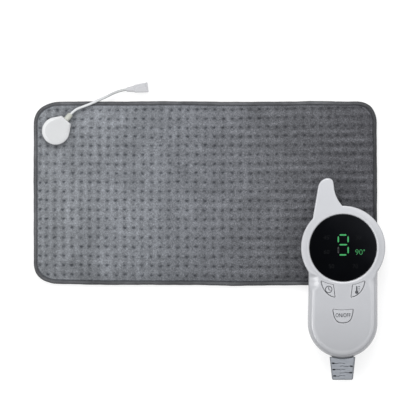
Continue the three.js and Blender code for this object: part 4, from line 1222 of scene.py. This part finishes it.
def housing_line(horn, count):
    """Head circle and long body as one line, with or without the horn at the head."""
    rf = 2.5
    cy = -math.sqrt((HEAD_R + rf) ** 2 - (BODY_HALF + rf) ** 2)
    cx = BODY_HALF + rf
    ang = math.degrees(math.atan2(cy, cx))
    a0, a1, tip = 90.0, 90.0, []
    if horn:
        h = through(HORN, 12)
        h = h[np.hypot(h[:, 0], h[:, 1]) > HEAD_R + 0.05]
        a1, a0 = math.degrees(math.atan2(h[0][1], h[0][0])), math.degrees(math.atan2(h[-1][1], h[-1][0]))
        tip = h.tolist()
    side = arc(cx, cy, rf, rf, 180 + ang, 180, 10)[1:]
    side += [(BODY_HALF, cy + (END_Y - cy) * i / 40) for i in range(1, 41)]
    side += arc(0, END_Y, BODY_HALF, BODY_HALF, 0, -90, 90)[1:]
    line = arc(0, 0, HEAD_R, HEAD_R, a0, ang, 160) + side + [(-x, y) for x, y in side[::-1]][1:]
    line += arc(0, 0, HEAD_R, HEAD_R, 180 - ang, a1, 130)[: None if horn else -1] + tip
    return softened(ccw(resample(settled(line), count=count)), 0.35)


LINE = housing_line(True, 560)
CORE = housing_line(False, 420)  # the hollow inside doesn't reach into the horn
SIDE = np.clip((-LINE[:, 1] - 17) / 17, 0, 1)
FRONT_ROLL = HEAD_ROLL + (ROLL - HEAD_ROLL) * SIDE * SIDE * (3 - 2 * SIDE)
FRONT_ROLL = FRONT_ROLL + 3.2 * np.exp(-(((LINE[:, 1] + 31) / 4.5) ** 2))  # the shoulders under the head slope more gently

# the left shoulder falls away from the head as a plain slope
FRONT_ROLL = FRONT_ROLL + 3.0 * np.exp(-(((LINE[:, 1] + 26) / 2.5) ** 2)) * (LINE[:, 0] < 0)
RAMP = np.clip((-22 - LINE[:, 1]) / 3, 0, 1) * np.clip((LINE[:, 1] + 38.5) / 4, 0, 1) * (LINE[:, 0] < 0)
RAMP = RAMP * RAMP * (3 - 2 * RAMP)


def front_z(x, y, z):
    """Heights of the front, which falls away slightly towards the tail and round the head, though not under the horn."""
    x, y = np.asarray(x, float), np.asarray(y, float)
    t = np.clip((-y - 46) / 50, 0, 1)
    k = np.clip((np.asarray(z) - PART_Z) / (CTRL_H - PART_Z), 0, 1)
    r = np.hypot(x, y)
    off = np.abs((np.degrees(np.arctan2(y, x)) - 118 + 180) % 360 - 180)
    a, b, c = np.clip((off - 25) / 30, 0, 1), np.clip((y + 29) / 9, 0, 1), np.clip((r - 33.2) / 4.6, 0, 1)
    ring = a * a * (3 - 2 * a) * b * b * (3 - 2 * b) * c
    return z - (0.9 * t * t + 0.5 * ring) * k * k


def inner_z(x, y):
    """Height of the front's inside: lower under the display than over the keys."""
    r = np.hypot(x, y)
    t = np.clip((r - 33.2) / 1.6, 0, 1) * np.clip((-y - 20) / 4, 0, 1)
    return 18.2 + (float(front_z(x, y, 19.7)) - 18.2) * t * t * (3 - 2 * t)


def key_line(runs, d=0.0, count=150):
    p = np.vstack([through(run, 10)[:-1] for run in runs])
    p = ccw(resample(softened(resample(p, step=0.2), 0.5), count=count))
    if d <= 0:
        return moved(p, d) if d else p
    # the hole fits more closely along the upper edge and the edge next to the middle
    n, mid = normals(p), p[:, 0].mean()
    a = np.clip((n[:, 1] - 0.3) / 0.5, 0, 1)
    b = np.clip((-n[:, 0] * np.sign(mid) - 0.5) / 0.4, 0, 1) * (abs(mid) > 3)
    a, b = a * a * (3 - 2 * a), b * b * (3 - 2 * b)
    return moved(p, d * (1 - 0.75 * a - 0.35 * b * (1 - a)))


KEYS = {"timer": TIMER, "temperature": TEMPERATURE, "power": POWER}


def housing_front():
    z0 = PART_Z + PART_GAP
    out = Parts()
    rings = [[(x, y, z) for x, y in moved(LINE, -d)] for d, z in ((0.35, z0), (0.08, z0 + 0.12), (0.0, z0 + 0.4), (0.0, 11.5), (0.0, 13.2))]
    for a in (0, 4, 8, 13, 18, 24, 30, 36, 42, 48, 54, 59, 64, 69, 74, 78, 82, 86, 90):
        c, q = math.cos(math.radians(a)), math.sin(math.radians(a))
        p = moved(LINE, -FRONT_ROLL * (1 - c))
        ring = []
        for (x, y), r, k in zip(p, FRONT_ROLL, RAMP):
            drop, plain = min(r, ROLL) * (1 - q), 0.4 * r * c + 0.012 * (r * c) ** 2
            ring.append((x, y, float(front_z(x, y, CTRL_H - drop - k * max(0.0, plain - drop)))))
        rings.append(ring)
    out.add(*loft(rings, False, False))
    n = 220
    holes = [circle(32.6, n)] + [key_line(k, 0.78) for k in KEYS.values()]
    p, t = sheet_between(moved(LINE, -FRONT_ROLL), holes, 1.9)
    out.add([(x, y, float(front_z(x, y, CTRL_H))) for x, y in p], t.tolist())
    # window: a soft bevel down to the lens, its seat, then the inside of the opening
    steps = (
        (32.6, 21.5), (32.35, 21.485), (32.05, 21.43), (31.7, 21.33), (31.35, 21.2), (31.0, 21.04), (30.72, 20.88), (30.52, 20.7), (30.45, 20.45),
        (30.45, 19.75), (28.2, 19.75), (28.2, 18.2),
    )
    out.add(*loft([[(x, y, z) for x, y in circle(r, n)] for r, z in steps], False, False))
    for k in KEYS.values():
        rings = [[(x, y, float(front_z(x, y, CTRL_H)) + dz) for x, y in key_line(k, d)] for d, dz in ((0.78, 0.0), (0.63, -0.03), (0.52, -0.11), (0.47, -0.26), (0.46, -0.6))]
        rings.append([(x, y, inner_z(x, y)) for x, y in key_line(k, 0.46)])
        out.add(*loft(rings, False, False))
    # inside of the wall and roof
    wall = moved(CORE, -1.7)
    p, t = sheet_between(moved(LINE, -0.35), [wall], 2.5)
    out.add([(x, y, z0) for x, y in p], t.tolist())
    rings = [[(x, y, z) for x, y in moved(CORE, -d)] for d, z in ((1.7, z0), (1.7, 14.0), (2.0, 15.4), (2.9, 16.9))]
    edge = moved(CORE, -4.6)
    rings.append([(x, y, inner_z(x, y) - 0.4) for x, y in edge])
    out.add(*loft(rings, False, False))
    p, t = sheet_between(edge, [circle(28.2, n)] + [key_line(k, 0.46) for k in KEYS.values()], 2.4)
    rim = {(round(x, 4), round(y, 4)) for x, y in edge}
    out.add([(x, y, inner_z(x, y) - (0.4 if (round(x, 4), round(y, 4)) in rim else 0.0)) for x, y in p], t.tolist())
    return make("housing_front", out.v, out.f, SHELL, "controller", 32, C_AT)


def horn_lift(x, y):
    """How far the underside rises under the horn."""
    t = np.clip((np.hypot(x, y) - 37.0) / 8.0, 0, 1) * (np.asarray(y) > 15)
    return 3.0 * t * t * (3 - 2 * t)


def housing_back():
    z0, r = PART_Z - PART_GAP, BACK_ROLL
    prof = [(0.35, z0), (0.08, z0 - 0.12), (0.0, z0 - 0.4), (0.0, 7.0), (0.0, 5.2), (0.0, r)]
    prof += [(r * (1 - math.cos(math.radians(a))), r - r * math.sin(math.radians(a))) for a in range(9, 91, 9)]
    low = horn_lift(LINE[:, 0], LINE[:, 1])
    rings = [[(x, y, z + b * (1 - z / z0)) for (x, y), b in zip(drawn_in(LINE, d) if d > 1 else moved(LINE, -d), low)] for d, z in prof]
    out = Parts().add(*loft(rings, False, False))
    n = 40
    flat = np.array([(x, y) for x, y, z in rings[-1]])
    lift = {(round(x, 4), round(y, 4)): z for x, y, z in rings[-1]}
    p, t = sheet_between(flat, [circle(3.0, n, *q) for q in SCREWS], 3.0)
    out.add([(x, y, lift.get((round(x, 4), round(y, 4)), float(horn_lift(x, y)))) for x, y in p], t.tolist())
    for q in SCREWS:
        steps = ((3.0, 0.0), (2.8, 0.06), (2.7, 0.25), (2.7, 2.62), (1.5, 2.62), (1.5, 4.6), (4.0, 4.6), (4.0, 1.9))
        out.add(*loft([[(x, y, z) for x, y in circle(rr, n, *q)] for rr, z in steps], False, False))
    wall, edge = moved(CORE, -1.7), moved(CORE, -4.4)
    p, t = sheet_between(moved(LINE, -0.35), [wall], 2.5)
    out.add([(x, y, z0) for x, y in p], t.tolist())
    rings = [[(x, y, z) for x, y in moved(CORE, -d)] for d, z in ((1.7, z0), (1.75, 4.2), (2.5, 2.5))]
    rings.append([(x, y, 1.9) for x, y in edge])
    out.add(*loft(rings, False, False))
    p, t = sheet_between(edge, [circle(4.0, n, *q) for q in SCREWS], 3.5)
    out.add([(x, y, 1.9) for x, y in p], t.tolist())
    return make("housing_back", out.v, out.f, SHELL, "controller", 32, C_AT)


front = housing_front()
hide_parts("front_shell")
rear = housing_back()
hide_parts("back_shell")


def lens():
    prof = [(0, 19.9), (30.1, 19.9), (30.3, 20.05), (30.3, 20.7), (30.26, 20.8), (30.16, 20.86), (29.95, 20.885), (29.5, 20.89), (22, 20.892), (14, 20.895), (7, 20.9), (0, 20.9)]
    return make("display_window", *turned(prof, 128), WINDOW, "controller", 45, C_AT)


glass = lens()
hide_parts("display_lens")


def slab(outline, z0, z1, edge=0.12):
    """A thin plate with softened upper edge from a closed line."""
    p = ccw(np.asarray(outline, float))
    return loft([[(x, y, z0) for x, y in p], [(x, y, z1 - edge * 0.4) for x, y in p], [(x, y, z1) for x, y in moved(p, -edge)]])


def bar(x0, y0, x1, y1, w, taper):
    """One display segment from end to end, tapered at both ends."""
    a, b = np.array((x0, y0), float), np.array((x1, y1), float)
    t = (b - a) / np.linalg.norm(b - a)
    n = np.array((-t[1], t[0]))
    h = w / 2
    p = [a + n * h * 0.3, a + t * taper + n * h, b - t * taper + n * h, b + n * h * 0.3, b - n * h * 0.3, b - t * taper - n * h, a + t * taper - n * h, a - n * h * 0.3]
    return softened(resample(p, step=0.12), 0.13)


SEG = {
    "a": (-3.3, 11.5, 3.2, 11.5), "g": (-3.3, 2.75, 3.7, 2.75), "d": (-3.3, -6.4, 3.1, -6.4),
    "f": (-4.25, 10.3, -4.25, 4.8), "b": (4.55, 10.3, 4.55, 4.8), "e": (-4.25, 0.8, -4.25, -5.0), "c": (4.6, 0.8, 4.6, -5.0),
}
lit, small, dark = Parts(), Parts(), Parts()
for k, (x0, y0, x1, y1) in SEG.items():
    (dark if k == "e" else lit).add(*slab(bar(x0, y0, x1, y1, 1.3, 0.85), 20.8, 20.94, 0.05))


def text_mesh(body, size, offset=0.0):
    """Outline of plain figures as flat faces, centred: points in millimetres and faces."""
    cu = bpy.data.curves.new("figures", "FONT")
    cu.body, cu.size, cu.align_x, cu.align_y, cu.offset, cu.resolution_u = body, 1.0, "CENTER", "CENTER", offset, 6
    ob = bpy.data.objects.new("figures", cu)
    bpy.context.scene.collection.objects.link(ob)
    bpy.context.view_layer.update()
    dg = bpy.context.evaluated_depsgraph_get()
    me = bpy.data.meshes.new_from_object(ob.evaluated_get(dg), depsgraph=dg)
    clean(me, 1e-5)
    v = np.array([tuple(p.co) for p in me.vertices])
    f = [list(p.vertices) for p in me.polygons]
    bpy.data.objects.remove(ob)
    bpy.data.curves.remove(cu)
    bpy.data.meshes.remove(me)
    lo, hi = v.min(0), v.max(0)
    v = (v - (lo + hi) / 2) * (size / (hi[1] - lo[1]))
    return v[:, :2], f


def raise_flat(v, f, x, y, z0, z1, sx=1.0):
    """Flat figures as a thin closed plate."""
    n = len(v)
    edge = set()
    for q in f:
        edge.update(zip(q, q[1:] + q[:1]))
    verts = [(x + p[0] * sx, y + p[1], z1) for p in v] + [(x + p[0] * sx, y + p[1], z0) for p in v]
    faces = [list(q) for q in f] + [[i + n for i in q[::-1]] for q in f]
    for a, b in sorted(edge):
        if (b, a) not in edge:
            faces.append([b, a, a + n, b + n])
    return verts, faces


v, f = text_mesh("90", 4.8, -0.014)
small.add(*raise_flat(v, f, 14.3, -3.9, 20.8, 20.93))


def ring_plate(x, y, r0, r1, z0, z1, n=40):
    """A flat ring as a thin closed plate."""
    out = []
    for i in range(n):
        c, s = math.cos(2 * math.pi * i / n), math.sin(2 * math.pi * i / n)
        out.append([(x + r0 * c, y + r0 * s, z0), (x + r1 * c, y + r1 * s, z0), (x + r1 * c, y + r1 * s, z1), (x + r0 * c, y + r0 * s, z1)])
    return loft(out + [out[0]], False, False)


small.add(*ring_plate(18.9, -2.3, 0.4, 0.8, 20.8, 20.93, 24))
for word, x, y in (("45'", -14.6, 9.3), ("60'", -14.3, -3.6), ("30'", 14.2, 9.3), ("50", -10.4, -16.6), ("70", 11.0, -16.6)):
    v, f = text_mesh(word, 3.6, -0.008)
    dark.add(*raise_flat(v, f, x, y, 20.8, 20.92))
digits = make("display_figures_lit", lit.v, lit.f, GREEN, "controller", 30, C_AT)
digits = make("display_figures_small", small.v, small.f, GREEN_DIM, "controller", 30, C_AT)
ghost = make("display_figures_unlit", dark.v, dark.f, GHOST, "controller", 30, C_AT)


# ------------------------------------------------------------------ keys
def keycap(name, runs, body):
    p = key_line(runs, -0.22)
    mid = p.mean(axis=0)
    top = float(front_z(mid[0], mid[1], CTRL_H)) + 0.32
    rings = []
    for d, z in ((0.95, 17.55), (0.95, 18.85), (0.9, 18.95), (0.0, 19.0), (0.0, top - 0.34), (-0.05, top - 0.17), (-0.2, top - 0.04), (-0.45, top), (-0.95, top - 0.02)):
        rings.append([(x, y, z) for x, y in (moved(p, d) if d >= 0 else drawn_in(p, -d))])
    base = drawn_in(p, 0.95)
    for k, dz in ((0.75, -0.06), (0.5, -0.11), (0.25, -0.14), (0.05, -0.15)):
        rings.append([(x, y, top + dz) for x, y in mid + (base - mid) * k])
    ob = make(name + "_cap", *loft(rings), KEYCAP, body, 40, C_AT)
    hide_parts(name + "_key")
    return top - 0.25, top + 0.03


def stroke(x0, y0, x1, y1, w, z0, z1):
    a, b = np.array((x0, y0), float), np.array((x1, y1), float)
    t = (b - a) / np.linalg.norm(b - a)
    n = np.array((-t[1], t[0])) * w / 2
    p = [a + n, b + n, b + t * w * 0.35 + n * 0.6, b + t * w * 0.5, b + t * w * 0.35 - n * 0.6, b - n, a - n, a - t * w * 0.35 - n * 0.6, a - t * w * 0.5, a - t * w * 0.35 + n * 0.6]
    return slab(p, z0, z1, 0.02)


def disc_plate(x, y, r, z0, z1, n=36):
    return slab(circle(r, n, x, y), z0, z1, 0.02)


def symbol(name, body, parts):
    ob = make(name, parts.v, parts.f, INK, body, 30, C_AT)
    return ob


# a clock face on the timer key
z0, z1 = keycap("timer", TIMER, "timer_button")
s = Parts()
s.add(*ring_plate(-12.9, -37.4, 2.55, 3.25, z0, z1))
s.add(*stroke(-12.9, -37.4, -12.9, -35.6, 0.62, z0, z1))
s.add(*stroke(-12.9, -37.4, -11.5, -38.3, 0.62, z0, z1 + 0.01))
symbol("timer_symbol", "timer_button", s)
# a thermometer on the temperature key
z0, z1 = keycap("temperature", TEMPERATURE, "temperature_button")
s = Parts()
s.add(*disc_plate(12.3, -39.9, 1.55, z0, z1))
s.add(*stroke(12.3, -39.9, 12.3, -34.9, 1.25, z0, z1 + 0.01))
for dy in (0.0, 1.5, 3.0):
    s.add(*stroke(13.8, -37.9 + dy, 15.1, -37.9 + dy, 0.5, z0, z1))
symbol("temperature_symbol", "temperature_button", s)
# on and off on the power key
z0, z1 = keycap("power", POWER, "power_button")
s = Parts()
v, f = text_mesh("ON/OFF", 3.5, 0.012)
s.add(*raise_flat(v, f, 0.0, -60.6, z0, z1, 13.4 / float(np.ptp(v[:, 0]))))
symbol("power_symbol", "power_button", s)


# ------------------------------------------------------------------ strain relief
def relief():
    """Tapered sleeve with a through bore, slit in its top and underside by turns from the left and the right."""
    width = lambda y: float(np.interp(-y, [92, 99, 118.8], [23, 23, 18.7]))
    tall = lambda y: float(np.interp(-y, [92, 99, 118.8], [13.4, 13.4, 10.4]))
    n = 96

    def section(w, h, r=2.4):
        q = resample(rounded_rect(w, h, r, 12), count=n)
        return np.roll(q, -int(np.argmin(np.abs(np.arctan2(q[:, 1], q[:, 0])))), axis=0)

    def foot(x, reach):
        """Where the sleeve meets the round end of the body."""
        return END_AT[1] - math.sqrt(max(1.0, (END_R + reach) ** 2 - (x - END_AT[0]) ** 2))

    rings = []
    for reach, k in ((0.95, 0.5), (1.1, 0.16), (1.4, 0.0)):
        sec = section(23 - 2 * k, 13.4 - 2 * k)
        rings.append([(RELIEF_X + x, foot(RELIEF_X + x, reach), RELIEF_Z + z) for x, z in sec])
    for y in np.linspace(-101.0, RELIEF_END + 1.4, 14):
        rings.append([(RELIEF_X + x, y, RELIEF_Z + z) for x, z in section(width(y), tall(y))])
    for a in (22, 45, 68, 90):
        d, y = 1.3 * (1 - math.cos(math.radians(a))), RELIEF_END + 1.4 * (1 - math.sin(math.radians(a)))
        rings.append([(RELIEF_X + x, y, RELIEF_Z + z) for x, z in section(width(y) - 2 * d, tall(y) - 2 * d)])
    bore = circle(CORD_BORE, n)
    rings.append([(1.1 * x, RELIEF_END, RELIEF_Z + 1.1 * z) for x, z in bore])
    rings.append([(x, RELIEF_END + 0.3, RELIEF_Z + z) for x, z in bore])
    rings.append([(x, -98.0, RELIEF_Z + z) for x, z in bore])
    v, f = loft(rings + [rings[0]], False, False)
    ob = make("relief_sleeve", v, f, RELIEF, "controller", 40, C_AT)
    for i, y in enumerate(RELIEF_SLOTS):
        hand = -1 if i % 2 == 0 else 1
        # a wide pocket near the edge, a narrow wavy slit from it past the middle, and a small round end
        xo, xi = width(y) / 2 - 1.25, -2.5
        t = np.linspace(0, 1, 45)
        xs = xo + (xi - xo) * t
        out, back = xo - xs, xs - xi
        half = 0.25 + 0.4 * np.clip((2.9 - out) / 0.5, 0, 1) + 0.14 * np.clip((1.4 - back) / 0.4, 0, 1)
        half *= np.sqrt(np.clip(0.12 + out / 0.7, 0, 1)) * np.sqrt(np.clip(0.12 + back / 0.6, 0, 1))
        wave = (0.3 * np.sin(0.75 * xs + 1.9 * i) + 0.12 * np.sin(1.9 * xs + i)) * np.clip((out - 2.0) / 2.0, 0, 1)
        outline = np.vstack([np.stack([xs, y + wave + half], 1), np.stack([xs[::-1], (y + wave - half)[::-1]], 1)])
        surface = tall(y) / 2
        depth = 0.42 + (surface - 2.1) * np.clip((3.2 - out) / 0.5, 0, 1) + 0.5 * np.clip((1.5 - back) / 0.4, 0, 1)
        depth = np.concatenate([depth, depth[::-1]])
        for up in (1, -1):
            lower = [(CX + RELIEF_X + hand * a, CY + b, CZ + RELIEF_Z + up * (surface - d)) for (a, b), d in zip(outline, depth)]
            upper = [(CX + RELIEF_X + hand * a, CY + b, CZ + RELIEF_Z + up * 12) for a, b in outline]
            cut_with(ob, *loft([lower, upper]))
    ob.data.polygons.foreach_set("use_smooth", [True] * len(ob.data.polygons))
    ob.data.set_sharp_from_angle(angle=math.radians(40))
    return ob


rel = relief()
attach(rel, "controller")
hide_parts("strain_relief")


def relief_neck():
    """The sleeve's neck in the groove between it and the body."""
    n = 64
    sec = resample(rounded_rect(19.5, 7.4, 1.6, 8), count=n)
    sec = np.roll(sec, -int(np.argmin(np.abs(np.arctan2(sec[:, 1], sec[:, 0])))), axis=0)
    at = lambda x, reach: END_AT[1] - math.sqrt((END_R + reach) ** 2 - (x - END_AT[0]) ** 2)
    rings = [[(x, at(x, reach), RELIEF_Z + z) for x, z in sec] for reach in (0.06, 0.94)]
    bore = circle(CORD_BORE, n)
    rings += [[(x, at(x, reach), RELIEF_Z + z) for x, z in bore] for reach in (0.94, 0.06)]
    return make("relief_neck", *loft(rings + [rings[0]], False, False), RELIEF, "controller", 35, C_AT)


neck = relief_neck()

# ------------------------------------------------------------------ pieces carried over from the frame
CARRIED = {
    "heating_wire": SILICONE, "temperature_sensor": BLACK, "thermal_cutout": STEEL, "junction_base": WHITE,
    "junction_screw_1": STEEL, "junction_screw_2": STEEL, "junction_screw_3": STEEL, "terminal_board": BOARD, "thermal_fuse": AMBER,
    "connector_contact_1": BRASS, "connector_contact_2": BRASS, "housing_screw_1": STEEL, "housing_screw_2": STEEL,
    "housing_screw_3": STEEL, "housing_screw_4": STEEL, "display_frame": BLACK, "led_digit_module": BLACK, "led_timer_module": BLACK,
    "main_board": BOARD, "relay": BLUE, "film_capacitor": AMBER, "fuse": WHITE, "buzzer": BLACK, "microcontroller": BLACK,
    "terminal_block": BLUE, "timer_switch": BLACK, "temperature_switch": BLACK, "power_switch": BLACK, "cord_clamp": STEEL,
    "clamp_screw_1": STEEL, "clamp_screw_2": STEEL, "timer_plunger": STEEL, "temperature_plunger": STEEL, "power_plunger": STEEL,
}
for node, mat in CARRIED.items():
    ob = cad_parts[node]
    ob.data.materials.clear()
    ob.data.materials.append(mat)

bpy.context.view_layer.update()
